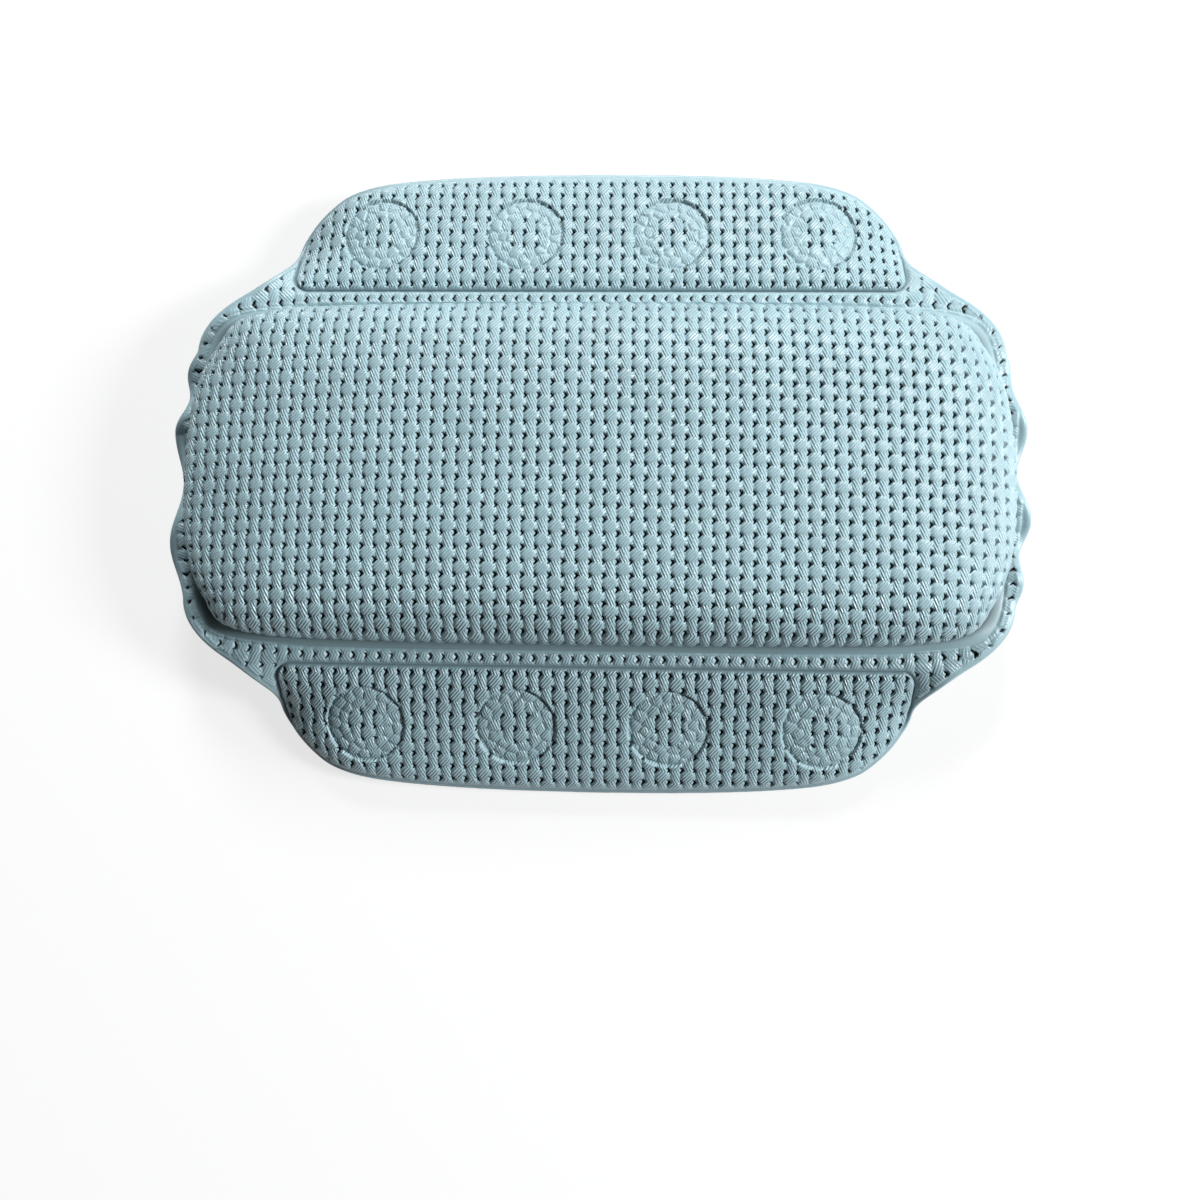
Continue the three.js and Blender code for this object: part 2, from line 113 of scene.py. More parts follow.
class CushionSizes(bpy.types.PropertyGroup):
    """Sizes of the puffed cushion and of the welded flange round it."""

    seam_length: length("Seam length", 298, "Length of the cushion between its seams")
    seam_width: length("Seam width", 125, "Width of the cushion between its seams")
    corner_round: length("Corner rounding", 21, "Distance over which the sides meet at a corner")
    front_crown: length("Front crown", 26.5, "Height of the front's middle above the seam before it settles")
    arch: length("Arch", 7, "How much lower the front is towards its ends than in the middle")
    right_round: number("Right rounding", 0.4, "Rounding of the right end, as a share of the left end's")
    back_depth: length("Back depth", SEAM_Z, "Depth of the back below the seam")
    rest_inset: length("Rest inset", 46, "Distance from the seam to the flat patch on the back")
    overhang: length("Overhang", 6.6, "How far the front bulges out at the middles of the ends")
    side_overhang: length("Side overhang", 1.8, "How far the long sides and the back bulge out")
    bulge_y: length("Half of the bulge", 49, "Half of the length over which an end bulges out")
    overhang_inset: length("Overhang inset", 3, "Distance inside the seam where the bulge is widest")
    swell_cap: length("Swell cap", 1.5, "Furthest that the filled cushion settles from its first shape")
    band: length("Weld band", 3, "Smooth band beside the cushion's long sides")
    corner_band: length("Corner weld band", 2, "Smooth band beside the cushion's corners and ends")
    row: length("Row edge", 7, "Distance from the seam to the outer edge of the side rows")
    row_middle: length("Row middle", 5.2, "Distance from the seam to the pits of the side rows")
    corner_row: length("Corner row", 4.3, "Distance from the seam to the pits of the other rows")
    corner_row_half: length("Half corner row", 2.3, "Half of the width of the row at the corners and ends")
    fade_start: length("Fade start", 0.1, "Distance from the seam where the weave of the ends begins")
    fade_end: length("Fade end", 1.4, "Distance from the seam where it is full")
    right_fade: length("Right fade", 17, "Distance over which the weave of the right end is weaker")
    right_share: number("Right share", 0.55, "How much weaker the weave of the right end is at its seam")
    rim: length("Rim", 1.5, "Width of the smooth rim round the flange")
    crease: length("Crease", 1, "Depth of the crease along the seam")
    end_crease: length("End crease", 1.2, "How much deeper the crease is along the ends")
    band_crease: length("Band crease", 0.45, "Depth of the crease along the outer edge of the weld band")
    end_x: length("End from middle", 153, "Plan place of the flange where the ends begin")
    end_y: length("Half of the end", 47, "Half of the length of the puckered ends")
    flange: length("End flange", 6.9, "Furthest reach of the puckered ends beyond where they begin")
    pucker_depth: length("Pucker depth", 2.15, "Half of the depth of the scallops in plan")
    pucker_wave: length("Pucker wave", 2.4, "How far the ends wave up and down")
    right_crests: lengths("Right crests", (-43.5, -17, 17), "Plan places of the crests on the right end")
    left_crests: lengths("Left crests", (-31, 14, 40), "Plan places of the crests on the left end")


class FlapSizes(bpy.types.PropertyGroup):
    """Sizes of the flaps, which are measured flat from their fold lines."""

    reach: length("Reach", 53.6, "Distance from the fold line to the outer edge")
    row_half: length("Half fold row", 2, "Half of the width of the row that bends")
    edge_x: length("Edge control", 87.8, "Plan place that the bowed outer edge is drawn towards")
    corner_x: length("Corner control", 117, "Plan place that the round corner is drawn towards")
    corner_y: length("Corner reach", 32.8, "Distance from the fold line to the corner's control")
    hollow_x: length("Hollow control", 119.3, "Plan place that the hollow side is drawn towards")
    hollow_y: length("Hollow reach", 11.4, "Distance from the fold line to the hollow's control")
    shoulder_in: length("Shoulder in", 9, "How far the shoulder's control lies inside the fold line")
    ear_start: length("Ear start", 114, "Plan place where the droop of a flap begins to fade")
    ear_end: length("Ear end", 133, "Plan place where nothing of the droop is left")
    rim: length("Rim", 1.7, "Width of the smooth rim along the outer edge")
    root_rim: length("Root rim", 1.3, "How much wider the rim is beside the notches")
    pad_end: length("Pad end", 117, "Plan place where the woven pad ends beside the notches")
    root: length("Root weld", 3, "Distance from the fold line to the woven pad")
    groove: length("Groove", 0.7, "Depth of the welded groove along the pad")
    groove_round: length("Groove rounding", 5.5, "Radius of the corners of the welded groove")
    fade: length("Fade", 2.6, "Width over which the weave fades out along the outer edge")
    swell: length("Swell", 8, "Distance over which the pad rounds off at its edge")
    curl: length("Curl", 3.5, "How far the outer edge curls down")
    curl_start: length("Curl start", 24, "Distance from the fold line where the curl begins")
    end_sag: length("End sag", 10, "How far the ends of a flap hang below its middle")
    sag_start: length("Sag start", 80, "Plan place where the ends begin to hang")
    sag_end: length("Sag end", 118, "Plan place where the end sag is measured")
    upper_droop: angle("Upper droop", 6, "Angle of the upper flap at rest")


class WeaveSizes(bpy.types.PropertyGroup):
    """Sizes of the embossed weave and of the sheets that carry it."""

    pitch_x: length("Pitch along", 4.74, "Width of one pad of the weave")
    pitch_y: length("Pitch across", 4.89, "Height of one pad of the weave")
    flap_stretch: number("Flap stretch", 1.075, "Height of the flaps' pads, as a share of the cushion's")
    lift: length("Lift", 0.36, "Height of the pads")
    edge: length("Edge", 0.52, "How far a pad falls from its middle to its outline")
    floor: length("Floor", 0.75, "Depth of the sheet between the pads")
    roundness: number("Roundness", 2.6, "Power of the pads' outlines, where 2 is an ellipse")
    weft_length: number("Pad length", 0.55, "Half length of the round pads, in pads")
    weft_width: number("Pad width", 0.56, "Half width of the round pads, in pads")
    warp_length: number("Strand length", 0.64, "Half length of the strands across the pillow, in pads")
    warp_width: number("Strand width", 0.4, "Half width of the strands across the pillow, in pads")
    warp_fall: number("Strand fall", 1.2, "How far a strand falls to its sides, in falls of the round pads")
    warp_lift: length("Strand lift", 0.25, "Height of the strands across the pillow")
    warp_dip: length("Strand dip", 0.28, "How far a strand falls towards its ends")
    pit: length("Pit", 1.2, "Depth of the pits between the pads")
    steps: IntProperty(name="Steps", description="Points of the embossed sheet across one pad", default=12)
    film_step: length("Film step", 1.1, "Distance between the points of the plain back film")
    weld: length("Welded sheet", 1.15, "Thickness of the front sheet where it is welded")
    pad: length("Flap pad", 3.2, "Thickness of the front sheet on the flaps")
    thinnest: length("Thinnest", 0.35, "Least thickness of the front sheet")
    film: length("Film", 0.95, "Thickness of the back film")
    lip: length("Lip", 0.25, "Height of the square edge at the outline")
    edge_round: length("Edge rounding", 1.3, "Width over which the outline's edge is rounded")


class CupSizes(bpy.types.PropertyGroup):
    """Sizes of the suction cups and of the weld marks over them."""

    count: IntProperty(name="Cups per flap", description="Number of suction cups on each flap", default=4)
    pitch: length("Pitch", 56, "Distance between the cups of a flap")
    place: length("Place", 27, "Distance from the fold line to the cups")
    mark_shift: length("Mark shift", 1.5, "How much nearer to the fold line the weld marks lie than the cups")
    mark_r: length("Mark radius", 14.8, "Radius of the weld mark over a cup")
    mark_depth: length("Mark depth", 1.0, "Depth of the weld mark at its edge")
    mark_dome: length("Mark dome", 0.7, "Rise of the weld mark from its edge to its middle")
    centre_r: length("Centre radius", 7.2, "Radius of the woven middle of a weld mark")
    base_r: length("Base radius", 12, "Radius of the disc that is welded between the sheets")
    neck_r: length("Neck radius", 4.3, "Radius of the neck")
    shoulder_r: length("Shoulder radius", 7, "Radius of the bell at its top")
    waist_r: length("Waist radius", 8.5, "Radius that the bell's outside is drawn towards")
    crown_r: length("Crown radius", 8, "Radius that the bell's inside is drawn towards")
    lip_r: length("Lip radius", 15, "Radius of the bell at its lip")
    lip_width: length("Lip width", 1.2, "Width of the flat lip")
    lip_thickness: length("Lip thickness", 0.7, "Thickness of the bell at its lip")
    height: length("Height", 9.6, "Height of the bell")
    wall: length("Wall", 2.4, "Thickness of the bell at its middle")
    gap: length("Gap", 1.25, "Distance from the seam to the top of the bell")
    clearance: length("Ground clearance", 0.3, "Distance from the lower cups to the ground")


class Finishes(bpy.types.PropertyGroup):
    """Colours of the pillow."""

    foam: colour("Foam", 146, 174, 182, "Colour of the embossed front sheet")
    film: colour("Film", 138, 165, 173, "Colour of the plain back film")
    cup: colour("Cups", 226, 238, 238, "Colour of the clear suction cups")
    floor: colour("Floor", 236, 237, 238, "Colour of the floor")


class StageSettings(bpy.types.PropertyGroup):
    """Camera and light."""

    distance: length("Camera distance", 440, "Distance from the camera to the middle of the cushion")
    tilt: angle("Tilt", 8, "Angle of the camera towards the lower flap")
    swing: angle("Swing", 2.5, "Angle of the camera towards the right end")
    roll: angle("Roll", 0.8, "Angle of the camera about its own axis")
    scale: number("Scale", 2.68, "Pixels to a millimetre at the seam, in the whole picture")
    picture: number("Picture size", 1200, "Pixels along the side of the whole picture")
    middle_x: number("Middle across", 594.6, "Pixel across where the middle of the cushion lies")
    middle_y: number("Middle down", 475.3, "Pixel down where the middle of the cushion lies")
    key: number("Key light", 34.5, "Power of the light from the right")
    fill: number("Fill light", 27.5, "Power of the light from the side of the upper flap")
    ambient: number("Ambient light", 0.05, "Strength of the light from all round")


class PillowSettings(bpy.types.PropertyGroup):
    """All sizes and colours of the pillow."""

    cushion: PointerProperty(type=CushionSizes)
    flap: PointerProperty(type=FlapSizes)
    weave: PointerProperty(type=WeaveSizes)
    cup: PointerProperty(type=CupSizes)
    finish: PointerProperty(type=Finishes)
    stage: PointerProperty(type=StageSettings)


class Sizes:
    """One group of settings with its lengths in millimetres."""

    def __init__(self, group):
        for name, prop in group.bl_rna.properties.items():
            if prop.type in {"FLOAT", "INT"}:
                value = getattr(group, name)
                value = np.array(value) if prop.is_array else value
                is_length = prop.type == "FLOAT" and prop.unit == "LENGTH"
                setattr(self, name, value / MM if is_length else value)


class Plan:
    """Sizes of the whole pillow in millimetres, its outline and seam, and the droop of its flaps."""

    def __init__(self, settings):
        self.cushion = Sizes(settings.cushion)
        self.flap = Sizes(settings.flap)
        self.weave = Sizes(settings.weave)
        self.cup = Sizes(settings.cup)
        self.band_edge = FOLD_Y - self.flap.row_half
        self.outline = Outline(pillow_outline(self))
        self.seam = Outline(seam_loop(self))
        self.droop = {"upper": self.flap.upper_droop, "lower": resting_droop(self)}


# Curves and masks, with all lengths in millimetres from here to the meshes

OUTLINE_STEP = 0.6
SEAM_STEP = 1.5
END_POINTS = 200
QUARTER_POINTS = 400


def smooth(low, high, value):
    """Smooth step: 0 up to low, 1 from high on, and 3t^2 - 2t^3 between them."""
    t = np.clip((value - low) / (high - low), 0.0, 1.0)
    return t * t * (3.0 - 2.0 * t)


def bell(value, width):
    """Bell curve, exp(-(value / width)^2)."""
    return np.exp(-((value / width) ** 2))


def bezier(start, control, end, count=40):
    """Points of a quadratic curve from start to end, drawn towards control, without its last point."""
    t = np.linspace(0, 1, count, endpoint=False)[:, None]
    return (1 - t) ** 2 * np.array(start) + 2 * t * (1 - t) * np.array(control) + t**2 * np.array(end)


def even_loop(points, step, rounds=3):
    """A closed line's points moved to equal steps along it, with its corners eased by short averages."""
    closed = np.vstack([points, points[:1]])
    along = np.concatenate([[0], np.cumsum(np.hypot(*np.diff(closed, axis=0).T))])
    places = np.linspace(0, along[-1], int(along[-1] / step), endpoint=False)
    loop = np.column_stack([np.interp(places, along, closed[:, axis]) for axis in (0, 1)])
    for _ in range(rounds):
        loop = sum(np.roll(loop, shift, axis=0) for shift in (-1, 0, 1)) / 3
    return loop


def crest_turns(y, crests):
    """Number of crests passed along an end, counted evenly from each crest to the next."""
    places = np.r_[2 * crests[0] - crests[1], crests, 2 * crests[-1] - crests[-2]]
    return np.interp(y, places, np.arange(len(places)))


def pucker(plan, x, y):
    """Phase and strength of the puckers: one turn from each crest to the next along an end, fading as 1 - t^4
    towards its corners."""
    cushion = plan.cushion
    turns = np.where(x > 0, crest_turns(y, cushion.right_crests), crest_turns(y, cushion.left_crests))
    return 2 * np.pi * turns, np.clip(1 - (y / cushion.end_y) ** 4, 0, 1)


def pillow_outline(plan):
    """Outline of the flat pillow, counter-clockwise. Each quarter runs smoothly past the controls of a bowed
    edge, a round corner, a hollow side and a round shoulder, with a joint midway between each two. Each end
    is x = end + strength * (reach - depth + depth * cos(phase))."""
    cushion, flap = plan.cushion, plan.flap
    top = FOLD_Y + flap.reach
    controls = np.array([
        (0, top),
        (flap.edge_x, top),
        (flap.corner_x, FOLD_Y + flap.corner_y),
        (flap.hollow_x, FOLD_Y + flap.hollow_y),
        (cushion.end_x, FOLD_Y - flap.shoulder_in),
        (cushion.end_x, cushion.end_y),
    ])
    joints = np.vstack([controls[:1], (controls[1:-2] + controls[2:-1]) / 2, controls[-1:]])
    quarter = np.vstack([bezier(a, b, c) for a, b, c in zip(joints, controls[1:-1], joints[1:])])
    y = cushion.end_y * np.linspace(1, -1, END_POINTS, endpoint=False)
    halves = []
    for turn in (1, -1):
        phase, strength = pucker(plan, np.full_like(y, turn), turn * y)
        reach = cushion.flange - cushion.pucker_depth + cushion.pucker_depth * np.cos(phase)
        end = np.column_stack([cushion.end_x + strength * reach, y])
        halves.append(turn * np.vstack([quarter, end, (quarter * (1, -1))[::-1]]))
    return even_loop(np.vstack(halves)[::-1], OUTLINE_STEP)


def seam_loop(plan):
    """The seam in plan, counter-clockwise: in each quarter x = length / 2 + r - r / cos(w) and
    y = width / 2 + r - r / sin(w)."""
    cushion = plan.cushion
    r = cushion.corner_round
    half = np.array((cushion.seam_length, cushion.seam_width)) / 2
    w = np.linspace(math.asin(r / (half[1] + r)), math.acos(r / (half[0] + r)), QUARTER_POINTS)
    quarter = half + r - r / np.column_stack([np.cos(w), np.sin(w)])
    upper = np.vstack([quarter, (quarter * (-1, 1))[::-1]])
    return even_loop(np.vstack([upper, -upper]), SEAM_STEP)


class Outline:
    """A closed line in plan, with the distance of any point inside it. Far points read it from a lattice of
    distances, and near ones are measured against each stretch of the line."""

    LATTICE = 2.0
    NEAR = 3.0
    MARGIN = 12.0
    BATCH = 1500
    SHORT_OF_END = 1.001

    def __init__(self, loop):
        self.loop = loop
        self.course = np.r_[0, np.cumsum(np.hypot(*np.diff(loop, axis=0, append=loop[:1]).T))]
        reach = np.abs(loop).max(axis=0) + self.MARGIN
        self.axes = [np.arange(-side, side + self.LATTICE, self.LATTICE) for side in reach]
        x, y = np.meshgrid(*self.axes)
        self.table = self.measure(x.ravel(), y.ravel())[0].reshape(x.shape)

    def measure(self, x, y):
        """Signed distance to the line, positive inside, the nearest place on it, and how far round it is."""
        start = self.loop
        run = np.roll(start, -1, axis=0) - start
        points = np.column_stack([x, y])
        found = []
        for part in np.array_split(points, len(points) // self.BATCH + 1):
            away = part[:, None] - start
            t = np.clip((away * run).sum(-1) / (run * run).sum(-1), 0, 1)
            gap = away - t[..., None] * run
            square = (gap * gap).sum(-1)
            nearest = square.argmin(1)
            rows = np.arange(len(part))
            short = gap[rows, nearest]
            turn = run[nearest, 0] * away[rows, nearest, 1] - run[nearest, 1] * away[rows, nearest, 0]
            inset = np.sqrt(square[rows, nearest]) * np.where(turn >= 0, 1, -1)
            course = self.course[nearest] + t[rows, nearest] * np.hypot(*run[nearest].T)
            found.append(np.column_stack([inset, part - short, course]))
        found = np.vstack(found)
        return found[:, 0], found[:, 1:3], found[:, 3]

    def inset(self, x, y):
        """Distance inside the line, and the nearest place on it for points that lie near it."""
        column = np.clip((x - self.axes[0][0]) / self.LATTICE, 0, len(self.axes[0]) - self.SHORT_OF_END)
        row = np.clip((y - self.axes[1][0]) / self.LATTICE, 0, len(self.axes[1]) - self.SHORT_OF_END)
        i, j = column.astype(int), row.astype(int)
        s, t = column - i, row - j
        below = self.table[j, i] * (1 - s) + self.table[j, i + 1] * s
        above = self.table[j + 1, i] * (1 - s) + self.table[j + 1, i + 1] * s
        inset = below * (1 - t) + above * t
        nearest = np.stack([x, y], axis=-1).astype(float)
        near = np.abs(inset) < self.NEAR
        inset[near], nearest[near], _ = self.measure(x[near], y[near])
        return inset, nearest


# Cushion

# Powers p and q of the puffed height
SIDE_POWERS = (5.8, 0.4)
END_POWERS = (3.8, 0.48)
SEAM_EASE = 0.4
# Plan places, here and below, are where a change begins and where it is complete
WAVE_PLACES = (110, 140)
WAVE_REACH = 7
STEEP_SHARE = 0.6
FINE_PLACES = 6000
SETTLING_STEP = 5.5
SETTLING_FRAMES = 20
HELD_INSET = 1.5
EASING_ROUNDS = 6


def seam_inset(plan, x, y):
    """Distance inside the seam, and the direction out of it. The distances a and b to the sides of a
    rectangle that is larger by r all round are joined as 1 / sqrt(1/a^2 + 1/b^2) - r, which rounds the
    corners."""
    cushion = plan.cushion
    a = np.maximum(cushion.seam_length / 2 + cushion.corner_round - np.abs(x), 1)
    b = np.maximum(cushion.seam_width / 2 + cushion.corner_round - np.abs(y), 1)
    inset = (a**-2 + b**-2) ** -0.5 - cushion.corner_round
    out = np.stack([np.sign(x) * a**-3, np.sign(y) * b**-3])
    return inset, out / np.maximum(np.hypot(*out), 1e-12)


def puffed(share, to_end):
    """Height of a filled sheet, (1 - (1 - s)^p)^q: steep at the seam and nearly flat in the middle. The
    powers p and q run from those of the sides to those of the ends, which are rounder."""
    p, q = [side + (end - side) * to_end for side, end in zip(SIDE_POWERS, END_POWERS)]
    return (1 - (1 - np.clip(share, 0, 1)) ** p) ** q


def flange_wave(plan, x, y, inset):
    """Height of the middle of the flange: the waves of the puckers, which die away inside the seam."""
    phase, strength = pucker(plan, x, y)
    shown = strength * smooth(*WAVE_PLACES, np.abs(x)) * smooth(0, WAVE_REACH, -inset)
    return plan.cushion.pucker_wave * shown * np.sin(phase)


def cushion_surface(plan, x, y, facing):
    """One side of the cushion before it is embossed, as points in space, with its insets from seam and
    outline, and the share of it that faces the ends. The rise is the crown times the puffed share of
    the way from seam to middle. The wall is moved out over the seam by overhang * t * exp(1 - t), and at
    the ends of the front the overhang falls off from their middles as 1 - |y / half|^3."""
    cushion, weave = plan.cushion, plan.weave
    inset, out = seam_inset(plan, x, y)
    soft = SEAM_EASE * np.logaddexp(0, inset / SEAM_EASE)
    if facing > 0:
        level = weave.weld
        height = cushion.front_crown - cushion.arch * (2 * x / cushion.seam_length) ** 2
        full = seam_inset(plan, np.zeros(1), np.zeros(1))[0][0]
    else:
        level, height, full = weave.film, cushion.back_depth - weave.film, cushion.rest_inset
    to_end = out[0] ** 2
    rise = height * puffed(soft / full, np.where(x < 0, to_end, cushion.right_round * to_end))
    t = soft / cushion.overhang_inset
    middle = np.clip(1 - np.abs(y / cushion.bulge_y) ** 3, 0, 1)
    widest = cushion.overhang * middle if facing > 0 else cushion.side_overhang
    over = (cushion.side_overhang + (widest - cushion.side_overhang) * to_end) * t * np.exp(1 - t)
    rim_inset = plan.outline.inset(x, y)[0]
    edge = rounded_edge(plan, rim_inset)
    z = facing * (weave.lip + (level - weave.lip) * edge + rise) + flange_wave(plan, x, y, inset)
    points = np.stack([x + over * out[0], y + over * out[1], z], axis=-1)
    return points, inset, rim_inset, 1 - out[1] ** 4


def rounded_edge(plan, rim_inset):
    """Share of the sheet's thickness near the outline: a quarter of an ellipse."""
    return np.sqrt(1 - (1 - np.clip(rim_inset / plan.weave.edge_round, 0, 1)) ** 2)


def even_steps(half, profile, step):
    """Places from -half to half for a stretched sheet, and their distances along it before it was stretched.
    A stretch of a profile counts for its length in plan, or where it is steep for a share of its own length.
    The last step to each end is what is left over."""
    places = np.linspace(0, half, FINE_PLACES)
    run = np.abs(np.diff(profile(places), axis=0))
    along = np.concatenate([[0], np.cumsum(np.maximum(run[:, 0], STEEP_SHARE * np.hypot(*run.T)))])
    reached = np.append(np.arange(0, along[-1] - step / 2, step), along[-1])
    half_places = np.interp(reached, along, places)
    return np.r_[-half_places[:0:-1], half_places], np.r_[-reached[:0:-1], reached]


def cushion_steps(plan, step_x, step_y):
    """Plan places along x and y for a sheet of the cushion, at even steps on the front's two middle lines."""

    def along_x(places):
        return cushion_surface(plan, places, np.zeros_like(places), 1)[0][:, [0, 2]]

    def along_y(places):
        return cushion_surface(plan, np.zeros_like(places), places, 1)[0][:, [1, 2]]

    reach = plan.outline.loop[:, 0].max() + 1
    return even_steps(reach, along_x, step_x), even_steps(plan.band_edge, along_y, step_y)


def weave_steps(plan):
    """Steps along x and y that divide a pad of the weave evenly."""
    return plan.weave.pitch_x / plan.weave.steps, plan.weave.pitch_y / plan.weave.steps


def surface_normals(points):
    """Unit normals of a grid of points, from its differences along rows and columns."""
    across = np.gradient(points, axis=1)
    down = np.gradient(points, axis=0)
    normal = np.cross(across, down)
    return normal / np.maximum(np.linalg.norm(normal, axis=-1, keepdims=True), 1e-12)


def cubic_matrix(coarse, fine):
    """Weights that carry values at coarse places to fine places by cubic convolution."""
    place = np.interp(fine, coarse, np.arange(len(coarse)))
    t = np.abs(place[:, None] - np.arange(len(coarse)))
    near = 1.5 * t**3 - 2.5 * t**2 + 1
    far = -0.5 * t**3 + 2.5 * t**2 - 4 * t + 2
    weights = np.where(t < 1, near, np.where(t < 2, far, 0))
    return weights / weights.sum(1, keepdims=True)


def spread(shift, coarse_x, coarse_y, fine_x, fine_y):
    """A coarse lattice of moves carried to the places of a finer grid."""
    rows, columns = cubic_matrix(coarse_y, fine_y), cubic_matrix(coarse_x, fine_x)
    return np.einsum("jb,bac,ia->jic", rows, shift, columns, optimize=True)


def blown_up(points, faces, is_held):
    """Points of a closed mesh after it has been blown up as cloth, with its held points kept still."""
    scene = bpy.context.scene
    mesh = bpy.data.meshes.new("settling_pillow")
    mesh.from_pydata(points.tolist(), [], faces.tolist())
    pillow = bpy.data.objects.new("settling_pillow", mesh)
    scene.collection.objects.link(pillow)
    held = pillow.vertex_groups.new(name="held")
    held.add(np.flatnonzero(is_held).tolist(), 1.0, "REPLACE")
    cloth = pillow.modifiers.new("Cloth", "CLOTH")
    cloth.settings.vertex_group_mass = "held"
    cloth.settings.quality = 6
    cloth.settings.mass = 0.3
    cloth.settings.use_pressure = True
    cloth.settings.uniform_pressure_force = 4
    cloth.settings.effector_weights.gravity = 0
    cloth.settings.bending_stiffness = 1.5
    for step in range(1, SETTLING_FRAMES + 1):
        scene.frame_set(step)
    settled = pillow.evaluated_get(bpy.context.evaluated_depsgraph_get()).data
    moved = np.empty(points.size)
    settled.vertices.foreach_get("co", moved)
    scene.frame_set(1)
    bpy.data.objects.remove(pillow)
    bpy.data.meshes.remove(mesh)
    return moved.reshape(-1, 3)


def eased(shift, free):
    """A lattice of moves after averages of each place with its neighbours, with the held places still."""
    for _ in range(EASING_ROUNDS):
        for axis in (0, 1):
            shift = (np.roll(shift, 1, axis) + 2 * shift + np.roll(shift, -1, axis)) / 4
        shift = shift * free
    return shift


def settled_shift(plan):
    """How far each sheet of the filled cushion moves as it settles, on a coarse lattice of the front's steps.
    A closed coarse pillow with its flange held is blown up as cloth, and its moves are capped and eased."""
    (x_places, x_along), (y_places, y_along) = cushion_steps(plan, SETTLING_STEP, SETTLING_STEP)
    x, y = np.meshgrid(x_places, y_places)
    shape = x.shape + (3,)
    front, inset, *_ = cushion_surface(plan, x, y, 1)
    back = cushion_surface(plan, x, y, -1)[0]
    above = np.arange(x.size).reshape(x.shape)
    inner = np.zeros(x.shape, bool)
    inner[1:-1, 1:-1] = True
    below = above.copy()
    below[inner] = x.size + np.arange(inner.sum())
    points = np.vstack([front.reshape(-1, 3), back[inner]]) * MM
    faces = np.vstack([grid_quads(above), grid_quads(below)[:, ::-1]])
    is_held = inset < HELD_INSET
    shift = (blown_up(points, faces, np.r_[is_held.ravel(), is_held[inner]]) - points) / MM
    far = np.linalg.norm(shift, axis=1, keepdims=True)
    shift *= np.minimum(1, plan.cushion.swell_cap / np.maximum(far, 1e-9))
    front_shift = shift[: x.size].reshape(shape)
    back_shift = front_shift.copy()
    back_shift[inner] = shift[x.size :]
    free = ~is_held[..., None]
    return x_along, y_along, eased(front_shift, free), eased(back_shift, free)


# Weave of the cushion and its flange

PAD_POWER = 4
STRAND_DIP_POWER = 6
PAD_EDGE = 0.08
# Sizes of the pits in pads: that of a small pit, and what a large one adds to it
PIT_TIP = (0.05, 0.05)
PIT_ARM = (0.75, 0.15)
PIT_STROKE = (0.095, 0.025)
PIT_HEIGHT = (0.21, 0.06)
PIT_EDGE = (0.2, 0.6)
FLANGE_PIT = 0.8
CORNER_PLACES = (104, 122)
END_ROW_PLACES = (128, 136)
BAND_EASE = 0.7
RIM_EASE = 1.2
ROW_EASE = 0.8
ROW_LIFT = 0.4
ROW_RELIEF = 0.6
ROW_SHEEN = 0.3
RIM_LIFT = 0.35
RIM_ROLL = 3.2
# Insets between which the weave fades in at the long sides
SIDE_FADE = (0.2, 0.8)
RIGHT_PLACES = (90, 140)
CREASE_OUT = 0.2
CREASE_WIDTH = 0.5
END_CREASE_WIDTH = 0.4
BAND_CREASE_WIDTH = 0.4
# Painted shade in the crease along the seam, and how much more of it lies along the ends
CREASE_SHADE = 0.7
END_CREASE_SHADE = 0.25


def woven(plan, u, v, pit_size=1.0):
    """Relief of the weave in millimetres for places counted in pads, with a mask of the pads along u. Round
    pads and narrow strands take turns like the squares of a chessboard. A pad with half sizes a and b falls
    off as the fourth power of s, where s^p = (x/a)^p + (y/b)^p with the weave's roundness p. A strand falls
    off across it as the power p, and a little towards its ends, where it dips under the pads. A pit bent to
    the right lies at each corner."""
    weave = plan.weave
    column, row = np.floor(u), np.floor(v)
    du, dv = u - column - 0.5, v - row - 0.5
    is_weft = (column + row) % 2 == 0
    weft_u = np.where(is_weft, du, du - np.sign(du))
    warp_v = np.where(is_weft, dv - np.sign(dv), dv)
    power = weave.roundness
    size = np.abs(weft_u / weave.weft_length) ** power + np.abs(dv / weave.weft_width) ** power
    weft = weave.lift - weave.edge * size ** (PAD_POWER / power)
    side = weave.edge * weave.warp_fall * np.abs(du / weave.warp_width) ** power
    dip = weave.warp_dip * np.abs(warp_v / weave.warp_length) ** STRAND_DIP_POWER
    warp = weave.warp_lift - side - dip
    cu, cv = (u - np.round(u)) / pit_size, (v - np.round(v)) / pit_size
    large = (np.round(u) + np.round(v)) % 2
    sizes = (PIT_TIP, PIT_ARM, PIT_STROKE, PIT_HEIGHT)
    tip, arm, stroke, height = [small + more * large for small, more in sizes]
    pit = smooth(*PIT_EDGE, bell(cu - tip + arm * np.abs(cv), stroke) * bell(cv, height))
    pads = np.maximum(np.maximum(weft, warp), -weave.floor)
    return pads - weave.pit * pit, smooth(-PAD_EDGE, PAD_EDGE, weft - warp)


